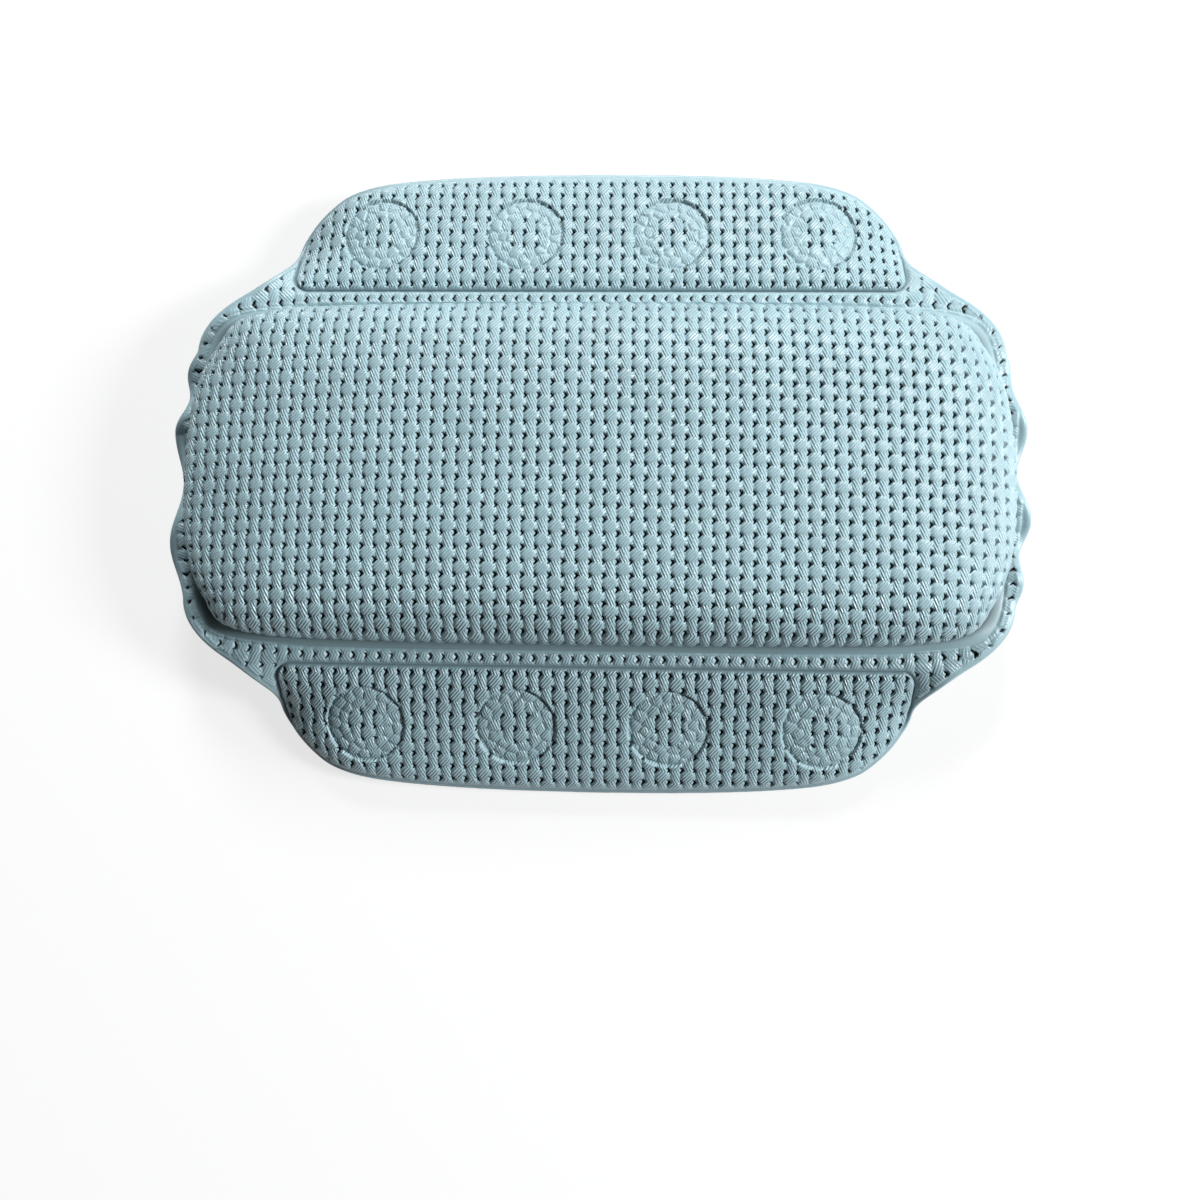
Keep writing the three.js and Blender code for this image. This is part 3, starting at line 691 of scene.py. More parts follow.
def flange_weave(plan, x, y, inset, rim_inset):
    """Raised weave that follows the seam on the flange, with a mask of where it shows: beyond the weld band,
    inside the smooth rim, and along the long sides one row wide. Pads are counted along the seam and out
    from it."""
    cushion, weave = plan.cushion, plan.weave
    corner = smooth(*CORNER_PLACES, np.abs(x))
    band = cushion.band + (cushion.corner_band - cushion.band) * corner
    middle = cushion.row_middle + (cushion.corner_row - cushion.row_middle) * corner
    mask = smooth(0, BAND_EASE, -inset - band) * smooth(cushion.rim, cushion.rim + RIM_EASE, rim_inset)
    side_edge = np.maximum(corner, 1 - smooth(0, ROW_EASE, -inset - cushion.row))
    end_edge = 1 - smooth(0, ROW_EASE, -inset - cushion.corner_row - cushion.corner_row_half)
    mask *= side_edge * np.maximum(end_edge, 1 - smooth(*END_ROW_PLACES, np.abs(x)))
    shown = mask > 0
    course = plan.seam.measure(x[shown], y[shown])[2]
    girth = plan.seam.course[-1]
    pads = 2 * round(girth / (2 * weave.pitch_x))
    relief, weft, u, v = np.zeros((4,) + x.shape)
    u[shown] = course * pads / girth
    v[shown] = (-inset - middle)[shown] / weave.pitch_y
    relief[shown], weft[shown] = woven(plan, u[shown], v[shown], FLANGE_PIT)
    return mask, ROW_LIFT + ROW_RELIEF * relief, weft, (u, v)


def rim_roll(rim_inset):
    """Round smooth rim along the outline, half a sine wave high."""
    return RIM_LIFT * np.sin(np.pi * np.clip(rim_inset / RIM_ROLL, 0, 1))


def cushion_relief(plan, x, y, inset, rim_inset, to_end, u, v):
    """Embossing of the cushion's front: weave that fades towards the seam and is weaker at the right end, a
    crease at the seam, weave on the flange and a smooth rim. It also gives the fields for the finish, with
    painted shade in the crease, and the places in the weave."""
    cushion = plan.cushion
    relief, weft = woven(plan, u, v)
    start = SIDE_FADE[0] + cushion.fade_start * to_end
    full = SIDE_FADE[1] + cushion.fade_end * to_end
    near_right = smooth(*RIGHT_PLACES, x) * to_end * (1 - smooth(0, cushion.right_fade, inset))
    inner = smooth(start, full, inset) * (1 - cushion.right_share * near_right)
    row, row_relief, row_weft, row_place = flange_weave(plan, x, y, inset, rim_inset)
    crease = bell(inset + CREASE_OUT, CREASE_WIDTH + END_CREASE_WIDTH * to_end)
    band_crease = bell(inset + cushion.band, BAND_CREASE_WIDTH) * (1 - to_end)
    raised = inner * relief + row * row_relief + smooth(0, 1, -inset) * rim_roll(rim_inset)
    raised -= (cushion.crease + cushion.end_crease * to_end) * crease + cushion.band_crease * band_crease
    outside = inset < 0
    # The crease field is painted shade along the seam's crease.
    fields = {
        "crease": (CREASE_SHADE + END_CREASE_SHADE * to_end) * crease,
        "weld": 1 - np.maximum(inner, ROW_SHEEN * row),
        "woven": np.maximum(inner, row),
        "weft": np.where(outside, row_weft, weft),
    }
    place = [np.where(outside, a, b) for a, b in zip(row_place, (u, v))]
    return raised * rounded_edge(plan, rim_inset), fields, place


# Flaps

# Distances from the fold line
ROOT_RIM_PLACES = (4, 26)
GROOVE_PLACES = (14, 32)
GROOVE_LOSS = 0.75
# Distances from the edge of the woven pad
GROOVE_OUT = 0.2
GROOVE_WIDTH = 0.45
GROOVE_SHADE_WIDTH = 0.4
PAD_FADE = (0.2, 0.9)
ROW_END = (-1.7, -1)
ROW_BORDER = -0.8
# Shares
OUTER_SHARES = (0.55, 0.85)
# Painted shade in the welded groove round the woven pad
GROOVE_SHADE = 0.5
FLAP_ROW_SHEEN = 0.5
# Edges of the round marks, counted from their radius
MARK_EDGE = np.array((-0.5, 0.3))
CENTRE_EDGE = np.array((-0.8, 0.4))
DISC_EDGE = np.array((-0.6, 1))
MARK_REACH = 4
MARK_GROOVE = 0.5
MARK_GROOVE_IN = 0.3
MARK_GROOVE_WIDTH = 0.45
MARK_SHEEN = 0.3
MARK_SEEDS = {"upper": 6, "lower": 4}
# Rings of cobbles, counted from the radius of the woven middle
COBBLE_RINGS = np.array((-2.2, 1.3, 4.9, 8.5))
COBBLE_COUNTS = (7, 12, 17, 22)
COBBLE_SHAKE_OUT = 0.5
COBBLE_SHAKE_ROUND = 0.6
COBBLE_LEVELS = 0.1
COBBLE_EDGE = 0.4
COBBLE_EDGE_WIDTH = 0.9
COBBLE_DOME = 0.25
COBBLE_DOME_WIDTH = 4
COBBLE_SINK = 0.15
FILM_GROOVE_SHARE = 0.5
FILM_GROOVE_WIDTH = 0.9
DISC_LIFT = 0.5
DISC_GROOVE = 0.3


def resting_droop(plan):
    """Angle at which the lower flap's cups come down to the ground beside the cushion."""
    cup = plan.cup
    out, down = cup.place + cup.lip_r, cup.gap + cup.height
    return math.asin((SEAM_Z - cup.clearance) / math.hypot(out, down)) - math.atan2(down, out)


def ear_fade(plan, x):
    """Share of a flap's droop that is left at the ears beside its notches."""
    return 1 - smooth(plan.flap.ear_start, plan.flap.ear_end, np.abs(x))


def hang(plan, x, y):
    """How far a flap hangs below the flat: its edge curls and its ends sag, as squares of a distance."""
    flap = plan.flap
    out = y - FOLD_Y
    curl = flap.curl * (np.maximum(out - flap.curl_start, 0) / (flap.reach - flap.curl_start)) ** 2
    end = np.maximum(np.abs(x) - flap.sag_start, 0) / (flap.sag_end - flap.sag_start)
    sag = flap.end_sag * end**2 * smooth(0, flap.reach / 2, out)
    return curl + sag * ear_fade(plan, x)


def bent_flap(plan, side, x, y, height):
    """Places in space of points of a flat flap at a height above its seam. A point turns about the fold line
    by the droop times a smooth step across the fold row, which fades at the ears beside the flap."""
    share = smooth(plan.band_edge, FOLD_Y + plan.flap.row_half, y) * ear_fade(plan, x)
    turn = plan.droop[side] * share
    out = y - FOLD_Y
    bent_y = FOLD_Y + out * np.cos(turn) + height * np.sin(turn)
    bent_z = height * np.cos(turn) - out * np.sin(turn)
    return np.stack([SIDES[side] * x, SIDES[side] * bent_y, bent_z], axis=-1)


def cup_places(plan):
    """Plan places of the cups of a flap."""
    middle = (plan.cup.count - 1) / 2
    return [((i - middle) * plan.cup.pitch, FOLD_Y + plan.cup.place) for i in range(plan.cup.count)]


def cobbles(x, y, radii, seed):
    """Relief of the melted pads in a weld mark: cells round points on rings, shaken a little, with a groove
    where the nearest two points are equally near, and each cell a little higher or lower than the next."""
    draw = np.random.default_rng(seed)
    turns = np.concatenate([np.arange(n) / n + draw.random() for n in COBBLE_COUNTS]) * 2 * np.pi
    ring = np.repeat(radii, COBBLE_COUNTS) + draw.normal(0, COBBLE_SHAKE_OUT, len(turns))
    turns += draw.normal(0, COBBLE_SHAKE_ROUND, len(turns)) / ring
    points = np.column_stack([ring * np.cos(turns), ring * np.sin(turns)])
    gaps = np.hypot(x[:, None] - points[:, 0], y[:, None] - points[:, 1])
    order = np.sort(gaps, axis=1)
    level = draw.normal(0, COBBLE_LEVELS, len(turns))[gaps.argmin(1)]
    between = order[:, 1] - order[:, 0]
    edge = COBBLE_EDGE * smooth(0, COBBLE_EDGE_WIDTH, between)
    return edge + COBBLE_DOME * smooth(0, COBBLE_DOME_WIDTH, between) + level


def weld_mark(plan, dx, dy, seed):
    """Relief of a weld mark for places from its middle, with the share of each place that is melted. It is a
    sunk disc with a dome that falls as the square of the radius, cobbles round a woven middle, and a groove
    along its edge."""
    cup = plan.cup
    radius = np.hypot(dx, dy)
    mark = 1 - smooth(*(cup.mark_r + MARK_EDGE), radius)
    ring = smooth(*(cup.centre_r + CENTRE_EDGE), radius)
    melted = cobbles(dx, dy, cup.centre_r + COBBLE_RINGS, seed)
    dome = cup.mark_dome * (1 - (radius / cup.mark_r) ** 2) - cup.mark_depth
    groove = MARK_GROOVE * bell(radius - cup.mark_r + MARK_GROOVE_IN, MARK_GROOVE_WIDTH)
    return mark * (dome + ring * (melted - COBBLE_SINK)) - groove, mark * ring


def pad_inset(plan, x, rim_inset, out):
    """Distance inside the edge of a flap's woven pad, and the depth of the welded groove along that edge. The
    edge lies further in beside the notches than at the outer edge, its root corners are round, and the groove
    fades up the sides. Two distances a and b meet as r - |(r - a, r - b)| within r of both."""
    flap = plan.flap
    rim = flap.rim + flap.root_rim * (1 - smooth(*ROOT_RIM_PLACES, out))
    a = np.minimum(rim_inset - rim, flap.pad_end - np.abs(x))
    b = out - flap.root
    r = flap.groove_round
    corner = np.hypot(np.maximum(r - a, 0), np.maximum(r - b, 0))
    inside = r - corner - np.minimum(np.maximum(r - a, r - b), 0)
    return inside, flap.groove * (1 - GROOVE_LOSS * smooth(*GROOVE_PLACES, out))


def flap_relief(plan, side, x, y, u, v):
    """Height of a flap's front above its seam: the fold row, a smooth rim, a welded groove, the woven pad
    inside it, and the weld marks. It also gives the fields for the finish, with painted shade in the groove,
    and the places in the weave."""
    flap, weave, cup = plan.flap, plan.weave, plan.cup
    inset = seam_inset(plan, x, y)[0]
    rim_inset = plan.outline.inset(x, y)[0]
    out = y - FOLD_Y
    inside, groove = pad_inset(plan, x, rim_inset, out)
    relief, weft = woven(plan, u, v)
    row, row_relief, row_weft, row_place = flange_weave(plan, x, y, inset, rim_inset)
    row *= 1 - smooth(*ROW_END, inside)
    full = PAD_FADE[1] + flap.fade * smooth(*OUTER_SHARES, out / flap.reach)
    shown = smooth(PAD_FADE[0], full, inside)
    swell = np.sqrt(1 - (1 - np.clip(inside / flap.swell, 0, 1)) ** 2)
    base = (weave.pad - weave.weld) * swell + row * row_relief
    base -= groove * bell(inside + GROOVE_OUT, GROOVE_WIDTH)
    welded = 1 - np.maximum(shown, FLAP_ROW_SHEEN * row)
    for number_of_cup, (cup_x, cup_y) in enumerate(cup_places(plan)):
        dx, dy = x - cup_x, y - (cup_y - cup.mark_shift)
        near = np.hypot(dx, dy) < cup.mark_r + MARK_REACH
        raised, melted = weld_mark(plan, dx[near], dy[near], 10 * number_of_cup + MARK_SEEDS[side])
        base[near] += raised
        shown[near] *= 1 - melted
        welded[near] = np.maximum(welded[near], MARK_SHEEN * melted)
    height = np.maximum(weave.weld + base + shown * relief, weave.thinnest)
    in_row = inside < ROW_BORDER
    # The crease field is painted shade in the welded groove.
    fields = {
        "crease": GROOVE_SHADE * bell(inside + GROOVE_OUT, GROOVE_SHADE_WIDTH) * groove / flap.groove,
        "weld": welded,
        "woven": np.maximum(shown, row),
        "weft": np.where(in_row, row_weft, weft),
    }
    place = [np.where(in_row, a, b) for a, b in zip(row_place, (u, v))]
    return weave.lip + (height - weave.lip) * rounded_edge(plan, rim_inset), fields, place


def film_relief(plan, x, y):
    """Depth of a flap's back film below its seam: grooves as on the front, and a low disc at each cup."""
    weave, cup = plan.weave, plan.cup
    rim_inset = plan.outline.inset(x, y)[0]
    inside, groove = pad_inset(plan, x, rim_inset, y - FOLD_Y)
    depth = weave.film - FILM_GROOVE_SHARE * groove * bell(inside, FILM_GROOVE_WIDTH)
    for cup_x, cup_y in cup_places(plan):
        radius = np.hypot(x - cup_x, y - cup_y)
        depth = depth + DISC_LIFT * (1 - smooth(*(cup.base_r + DISC_EDGE), radius))
        depth -= DISC_GROOVE * bell(radius - cup.mark_r, FILM_GROOVE_WIDTH)
    return weave.lip + (depth - weave.lip) * rounded_edge(plan, rim_inset)


# Meshes

TRIM_SHARE = 0.55
HIDDEN_STEP = 3
HIDDEN_MARGIN = 1
HIDDEN_PAD = 5
SHARP_ANGLE = math.radians(80)


def grid_quads(numbers):
    """Quads of a grid of point numbers, counter-clockwise seen from above."""
    corners = (numbers[:-1, :-1], numbers[:-1, 1:], numbers[1:, 1:], numbers[1:, :-1])
    return np.stack(corners, axis=-1).reshape(-1, 4)


def crossing_beside(places, inset):
    """For each place along a row, the nearest one where the row crosses the outline."""
    before = np.flatnonzero(np.diff(np.sign(inset)))
    run = np.diff(places)[before] / np.diff(inset)[before]
    crossings = places[before] - inset[before] * run
    return crossings[np.abs(places[:, None] - crossings).argmin(1)]


class Patch:
    """A grid in plan that is trimmed by an outline. Cells outside it are dropped, and the points along the
    trim move to the nearest place on the line, apart from those on the straight rows, which keep their y."""

    def __init__(self, x_places, y_places, outline, straight):
        self.x, self.y = np.meshgrid(x_places, y_places)
        inset, nearest = outline.inset(self.x, self.y)
        inside = inset > -TRIM_SHARE * np.diff(x_places).max()
        self.cells = inside[:-1, :-1] & inside[:-1, 1:] & inside[1:, :-1] & inside[1:, 1:]
        kept = np.zeros(self.x.shape, int)
        possible = np.zeros(self.x.shape, int)
        for rows in (slice(None, -1), slice(1, None)):
            for columns in (slice(None, -1), slice(1, None)):
                kept[rows, columns] += self.cells
                possible[rows, columns] += 1
        trim = (kept > 0) & (kept < possible)
        for row in straight:
            nearest[row, :, 0] = crossing_beside(x_places, inset[row])
            nearest[row, :, 1] = self.y[row]
        self.x[trim], self.y[trim] = nearest[trim].T
        self.used = kept > 0
        self.numbers = np.full(self.x.shape, -1)
        self.numbers[self.used] = np.arange(self.used.sum())
        self.faces = grid_quads(self.numbers)[self.cells.ravel()]

    def border(self):
        """Edges of the kept cells that only one of them has, in that cell's direction."""
        edges = np.concatenate([self.faces[:, [k, (k + 1) % 4]] for k in range(4)])
        key = np.sort(edges, axis=1)
        _, first, uses = np.unique(key, axis=0, return_index=True, return_counts=True)
        return edges[first[uses == 1]]


def closed_sheet(name, patch, points, under, outline, fields, weave_uv=None, turned=False):
    """A closed body from a trimmed grid: its outer face, a wall along its border, and a plain inner face of
    triangles at the places that under gives. A turned body has its outer face below."""
    outer = points[patch.used]
    border = patch.border()
    rim = np.unique(border)
    plan_rim = np.column_stack([patch.x[patch.used], patch.y[patch.used]])[rim]
    low, high = plan_rim.min(0), plan_rim.max(0)
    axes = [np.arange(a + HIDDEN_STEP, b - HIDDEN_STEP / 2, HIDDEN_STEP) for a, b in zip(low, high)]
    inner = np.stack(np.meshgrid(*axes), axis=-1).reshape(-1, 2)
    inner = inner[outline.inset(inner[:, 0], inner[:, 1])[0] > HIDDEN_MARGIN]
    flat = np.vstack([plan_rim, inner])
    rim_number = np.full(len(outer), -1)
    rim_number[rim] = np.arange(len(rim))
    found = delaunay_2d_cdt([Vector(p) for p in flat], rim_number[border].tolist(), [], 1, 1e-7)
    source = np.array([ids[0] for ids in found[3]])
    triangles = source[np.array(found[2])]
    first = len(outer)
    walls = np.column_stack([
        border[:, 1], border[:, 0], first + rim_number[border[:, 0]], first + rim_number[border[:, 1]],
    ])
    every_point = np.vstack([outer, under(flat[:, 0], flat[:, 1])])
    quads = np.vstack([patch.faces, walls])
    triangles = first + triangles[:, ::-1]
    if turned:
        quads, triangles = quads[:, ::-1], triangles[:, ::-1]
    piece = mesh_piece(name, every_point, quads, triangles)
    for field, values in fields.items():
        every_value = np.r_[values[patch.used], np.ones(len(flat)) * (field == "weld")]
        attribute = piece.data.attributes.new(field, "FLOAT", "POINT")
        attribute.data.foreach_set("value", every_value.astype(np.float32))
    if weave_uv is not None:
        place = np.vstack([np.stack(weave_uv, axis=-1)[patch.used], flat / HIDDEN_PAD])
        corners = np.empty(len(piece.data.loops), int)
        piece.data.loops.foreach_get("vertex_index", corners)
        layer = piece.data.uv_layers.new(name="pads")
        layer.data.foreach_set("uv", place[corners].ravel().astype(np.float32))
    return piece


def mesh_piece(name, points, quads, triangles=None):
    """A smooth shaded object of quads and triangles, with its points given in the pillow's millimetres."""
    placed = (points + (0, CENTRE_Y, SEAM_Z)) * MM
    triangles = np.empty((0, 3), int) if triangles is None else triangles
    totals = np.r_[np.full(len(quads), 4), np.full(len(triangles), 3)]
    mesh = bpy.data.meshes.new(name)
    mesh.vertices.add(len(placed))
    mesh.vertices.foreach_set("co", placed.ravel().astype(np.float32))
    mesh.loops.add(int(totals.sum()))
    mesh.loops.foreach_set("vertex_index", np.r_[quads.ravel(), triangles.ravel()].astype(np.int32))
    mesh.polygons.add(len(totals))
    mesh.polygons.foreach_set("loop_start", np.r_[0, np.cumsum(totals)[:-1]].astype(np.int32))
    mesh.polygons.foreach_set("use_smooth", np.ones(len(totals), bool))
    mesh.update(calc_edges=True)
    mesh.validate()
    mesh.set_sharp_from_angle(angle=SHARP_ANGLE)
    piece = bpy.data.objects.new(name, mesh)
    bpy.context.scene.collection.objects.link(piece)
    return piece


# Materials, with heights in metres

# Slants a and b of the yarn lines, on the strands across the pillow and on those along it
YARN_SLANTS = ((0.9, 0.44), (-0.72, 0.69))
YARN_LINES = 5.0
# Painted shade and light along the yarn lines: darker in their grooves and paler on their ridges
YARN_SHADE = 0.5
YARN_HEIGHT = 0.00012
# Sizes of the painted shade in the pits of the pads: that of a small pit, and what a large one adds to it
DARK_STROKE = (0.075, 0.02)
DARK_HEIGHT = (0.2, 0.05)
DARK_EDGE = (1.5, 0.7)
GRAIN_SHARE = 0.5
# Tones as shares of a finish's colour. The pairs are the darkest and the palest of the mottling.
FOAM_TONES = (0.86, 1.14)
FILM_TONES = (0.92, 1.08)
WELD_TONE = 0.92
# Painted shade in the pits and creases, nearly black
PIT_SHADE_TONE = 0.03
FOAM_ROUGHNESS = (0.25, 0.37)
WELD_ROUGHNESS = 0.08
PIT_ROUGHNESS = 0.45
FILM_ROUGHNESS = (0.3, 0.46)
FILM_GRAIN_HEIGHT = 0.0003
CUP_ROUGHNESS = (0.1, 0.26)


def new_group(name, inputs, outputs):
    """A shader node group with named sockets, and its input and output nodes."""
    group = bpy.data.node_groups.new(name, "ShaderNodeTree")
    for label, kind, default in inputs:
        socket = group.interface.new_socket(label, in_out="INPUT", socket_type=kind)
        if default is not None:
            socket.default_value = default
    for label, kind in outputs:
        group.interface.new_socket(label, in_out="OUTPUT", socket_type=kind)
    return group, group.nodes.new("NodeGroupInput"), group.nodes.new("NodeGroupOutput")


def math_node(tree, operation, first, second=None):
    """A math node of one or two values, each a number or a socket, and its result."""
    node = tree.nodes.new("ShaderNodeMath")
    node.operation = operation
    for socket, value in zip(node.inputs, (first, second)):
        if isinstance(value, bpy.types.NodeSocket):
            tree.links.new(value, socket)
        elif value is not None:
            socket.default_value = value
    return node.outputs[0]


def yarn_group():
    """Fine slanted lines on the pads: sin(2 pi n (a u + b v)), leaning to the right on the strands along the
    pillow and to the left, more steeply, on those across it."""
    group, given, result = new_group(
        "slanted_yarn_lines",
        [
            ("Place", "NodeSocketVector", None),
            ("Along", "NodeSocketFloat", 1.0),
            ("Lines", "NodeSocketFloat", YARN_LINES),
        ],
        [("Height", "NodeSocketFloat")],
    )
    split = group.nodes.new("ShaderNodeSeparateXYZ")
    group.links.new(given.outputs["Place"], split.inputs[0])
    u, v = split.outputs[0], split.outputs[1]
    waves = []
    for a, b in YARN_SLANTS:
        parts = [math_node(group, "MULTIPLY", place, share) for place, share in ((u, a), (v, b))]
        slant = math_node(group, "ADD", *parts)
        count = math_node(group, "MULTIPLY", slant, given.outputs["Lines"])
        waves.append(math_node(group, "SINE", math_node(group, "MULTIPLY", count, 2 * math.pi)))
    change = math_node(group, "SUBTRACT", waves[1], waves[0])
    shown = math_node(group, "MULTIPLY", change, given.outputs["Along"])
    group.links.new(math_node(group, "ADD", waves[0], shown), result.inputs["Height"])
    return group


def pit_shade_group():
    """Painted shade in the pits at the pads' corners, bent to the right like arrow heads, every second one
    smaller.
    """
    group, given, result = new_group(
        "woven_pits", [("Place", "NodeSocketVector", None)], [("Mask", "NodeSocketFloat")]
    )
    split = group.nodes.new("ShaderNodeSeparateXYZ")
    group.links.new(given.outputs["Place"], split.inputs[0])
    corners = [math_node(group, "ROUND", split.outputs[axis]) for axis in (0, 1)]
    cu, cv = [math_node(group, "SUBTRACT", split.outputs[axis], corners[axis]) for axis in (0, 1)]
    large = math_node(group, "FLOORED_MODULO", math_node(group, "ADD", *corners), 2.0)

    def sized(small, more):
        return math_node(group, "ADD", math_node(group, "MULTIPLY", large, more), small)

    arm = math_node(group, "MULTIPLY", math_node(group, "ABSOLUTE", cv), sized(*PIT_ARM))
    bent = math_node(group, "ADD", math_node(group, "SUBTRACT", cu, sized(*PIT_TIP)), arm)
    across = math_node(group, "ABSOLUTE", math_node(group, "DIVIDE", bent, sized(*DARK_STROKE)))
    down = math_node(group, "ABSOLUTE", math_node(group, "DIVIDE", cv, sized(*DARK_HEIGHT)))
    square, fourth = math_node(group, "POWER", across, 2.0), math_node(group, "POWER", down, 4.0)
    far = math_node(group, "ADD", square, fourth)
    edge = group.nodes.new("ShaderNodeMapRange")
    edge.interpolation_type = "SMOOTHSTEP"
    edge.inputs["From Min"].default_value = DARK_EDGE[0]
    edge.inputs["From Max"].default_value = DARK_EDGE[1]
    group.links.new(far, edge.inputs["Value"])
    group.links.new(edge.outputs[0], result.inputs["Mask"])
    return group


def skin_group():
    """Uneven skin of soft plastic: broad mottling for colour and gloss, and a fine grain for its height."""
    group, given, result = new_group(
        "soft_plastic_skin",
        [
            ("Place", "NodeSocketVector", None),
            ("Mottle Scale", "NodeSocketFloat", 60.0),
            ("Grain Scale", "NodeSocketFloat", 2500.0),
        ],
        [("Mottle", "NodeSocketFloat"), ("Grain", "NodeSocketFloat")],
    )
    for scale, detail, output in (("Mottle Scale", 3.0, "Mottle"), ("Grain Scale", 2.0, "Grain")):
        noise = group.nodes.new("ShaderNodeTexNoise")
        noise.inputs["Detail"].default_value = detail
        group.links.new(given.outputs["Place"], noise.inputs["Vector"])
        group.links.new(given.outputs[scale], noise.inputs["Scale"])
        group.links.new(noise.outputs["Fac"], result.inputs[output])
    return group


def shared_group(name, maker):
    """A node group by its name, made when it is first needed."""
    return bpy.data.node_groups.get(name) or maker()


def new_material(name):
    """An empty material with its shader and output."""
    material = bpy.data.materials.new(name)
    material.use_nodes = True
    return material, material.node_tree, material.node_tree.nodes["Principled BSDF"]


def place_group(tree, group, **values):
    """A group node with its values set."""
    node = tree.nodes.new("ShaderNodeGroup")
    node.node_tree = group
    for label, value in values.items():
        node.inputs[label.replace("_", " ")].default_value = value
    return node


def mixed_colour(tree, share, first, second):
    """A mix of two colours, each a colour or a socket, by a share."""
    node = tree.nodes.new("ShaderNodeMix")
    node.data_type = "RGBA"
    tree.links.new(share, node.inputs["Factor"])
    for socket, value in ((node.inputs[6], first), (node.inputs[7], second)):
        if isinstance(value, bpy.types.NodeSocket):
            tree.links.new(value, socket)
        else:
            socket.default_value = (*value, 1)
    return node.outputs[2]


def ranged(tree, value, low, high):
    """A value from 0 to 1 carried to the range from low to high."""
    node = tree.nodes.new("ShaderNodeMapRange")
    tree.links.new(value, node.inputs["Value"])
    node.inputs["To Min"].default_value = low
    node.inputs["To Max"].default_value = high
    return node.outputs[0]


def field_value(tree, name):
    """A field of the mesh as a value."""
    node = tree.nodes.new("ShaderNodeAttribute")
    node.attribute_name = name
    return node.outputs["Fac"]


def bumped(tree, shader, height, strength, distance):
    """A bump from a height to the shader's normal."""
    node = tree.nodes.new("ShaderNodeBump")
    node.inputs["Strength"].default_value = strength
    node.inputs["Distance"].default_value = distance
    tree.links.new(height, node.inputs["Height"])
    tree.links.new(node.outputs[0], shader.inputs["Normal"])


def skin_node(tree, mottle, grain):
    """The shared skin group at the object's own places, with its two scales."""
    group = shared_group("soft_plastic_skin", skin_group)
    skin = place_group(tree, group, Mottle_Scale=mottle, Grain_Scale=grain)
    coords = tree.nodes.new("ShaderNodeTexCoord")
    tree.links.new(coords.outputs["Object"], skin.inputs["Place"])
    return skin


def foam_material(finish):
    """Embossed soft foam: satin teal grey with mottling, smoother welds, fine yarn lines, and painted shade
    in the pits, creases and yarn grooves.
    """
    material, tree, shader = new_material("embossed_foam")
    base = np.array(finish.foam)
    skin = skin_node(tree, mottle=55.0, grain=2600.0)
    pads = tree.nodes.new("ShaderNodeUVMap")
    pads.uv_map = "pads"
    yarn = place_group(tree, shared_group("slanted_yarn_lines", yarn_group), Lines=YARN_LINES)
    tree.links.new(pads.outputs[0], yarn.inputs["Place"])
    tree.links.new(field_value(tree, "weft"), yarn.inputs["Along"])
    welds = field_value(tree, "weld")
    lines = math_node(tree, "MULTIPLY", yarn.outputs["Height"], math_node(tree, "SUBTRACT", 1.0, welds))
    # The mottling is the foam's own tone; the yarn lines add painted shade in their grooves and painted light
    # on their ridges
    shade = math_node(tree, "ADD", skin.outputs["Mottle"], math_node(tree, "MULTIPLY", lines, YARN_SHADE))
    mottled = mixed_colour(tree, shade, *[base * tone for tone in FOAM_TONES])
    welded = mixed_colour(tree, welds, mottled, base * WELD_TONE)
    pits = place_group(tree, shared_group("woven_pits", pit_shade_group))
    tree.links.new(pads.outputs[0], pits.inputs["Place"])
    shown = math_node(tree, "MULTIPLY", pits.outputs["Mask"], field_value(tree, "woven"))
    # Painted shade: the pits, which are also dug into the mesh, and the creases are coloured nearly black
    painted_shade = math_node(tree, "MAXIMUM", shown, field_value(tree, "crease"))
    tree.links.new(mixed_colour(tree, painted_shade, welded, base * PIT_SHADE_TONE), shader.inputs["Base Color"])
    weld_rough = math_node(tree, "MULTIPLY", welds, WELD_ROUGHNESS)
    rough = math_node(tree, "ADD", weld_rough, math_node(tree, "MULTIPLY", painted_shade, PIT_ROUGHNESS))
    gloss = math_node(tree, "ADD", ranged(tree, skin.outputs["Mottle"], *FOAM_ROUGHNESS), rough)
    tree.links.new(gloss, shader.inputs["Roughness"])
    grain = math_node(tree, "MULTIPLY", skin.outputs["Grain"], GRAIN_SHARE)
    bumped(tree, shader, math_node(tree, "ADD", lines, grain), strength=1.0, distance=YARN_HEIGHT)
    return material


def film_material(finish):
    """Plain back film: smooth soft plastic with a fine leathery grain."""
    material, tree, shader = new_material("back_film")
    base = np.array(finish.film)
    skin = skin_node(tree, mottle=40.0, grain=900.0)
    mottled = mixed_colour(tree, skin.outputs["Mottle"], *[base * tone for tone in FILM_TONES])
    tree.links.new(mottled, shader.inputs["Base Color"])
    tree.links.new(ranged(tree, skin.outputs["Mottle"], *FILM_ROUGHNESS), shader.inputs["Roughness"])
    bumped(tree, shader, skin.outputs["Grain"], strength=0.35, distance=FILM_GRAIN_HEIGHT)
    return material


def cup_material(finish):
    """Clear soft rubber with a faint haze."""
    material, tree, shader = new_material("clear_rubber")
    shader.inputs["Base Color"].default_value = (*finish.cup, 1)
    shader.inputs["Transmission Weight"].default_value = 0.85
    shader.inputs["IOR"].default_value = 1.46
    skin = skin_node(tree, mottle=120.0, grain=1500.0)
    tree.links.new(ranged(tree, skin.outputs["Mottle"], *CUP_ROUGHNESS), shader.inputs["Roughness"])
    return material


def shared_material(name, maker, finish):
    """A material by its name, made when it is first needed."""
    return bpy.data.materials.get(name) or maker(finish)


# Operators

# Cups, in millimetres
CUP_SIDES = 64
CURVE_POINTS = 16
LIP_BEVEL = 0.15
SHOULDER_IN = 0.4
SHOULDER_UP = 0.25
NECK_TOP = 0.3
POLE_R = 0.02
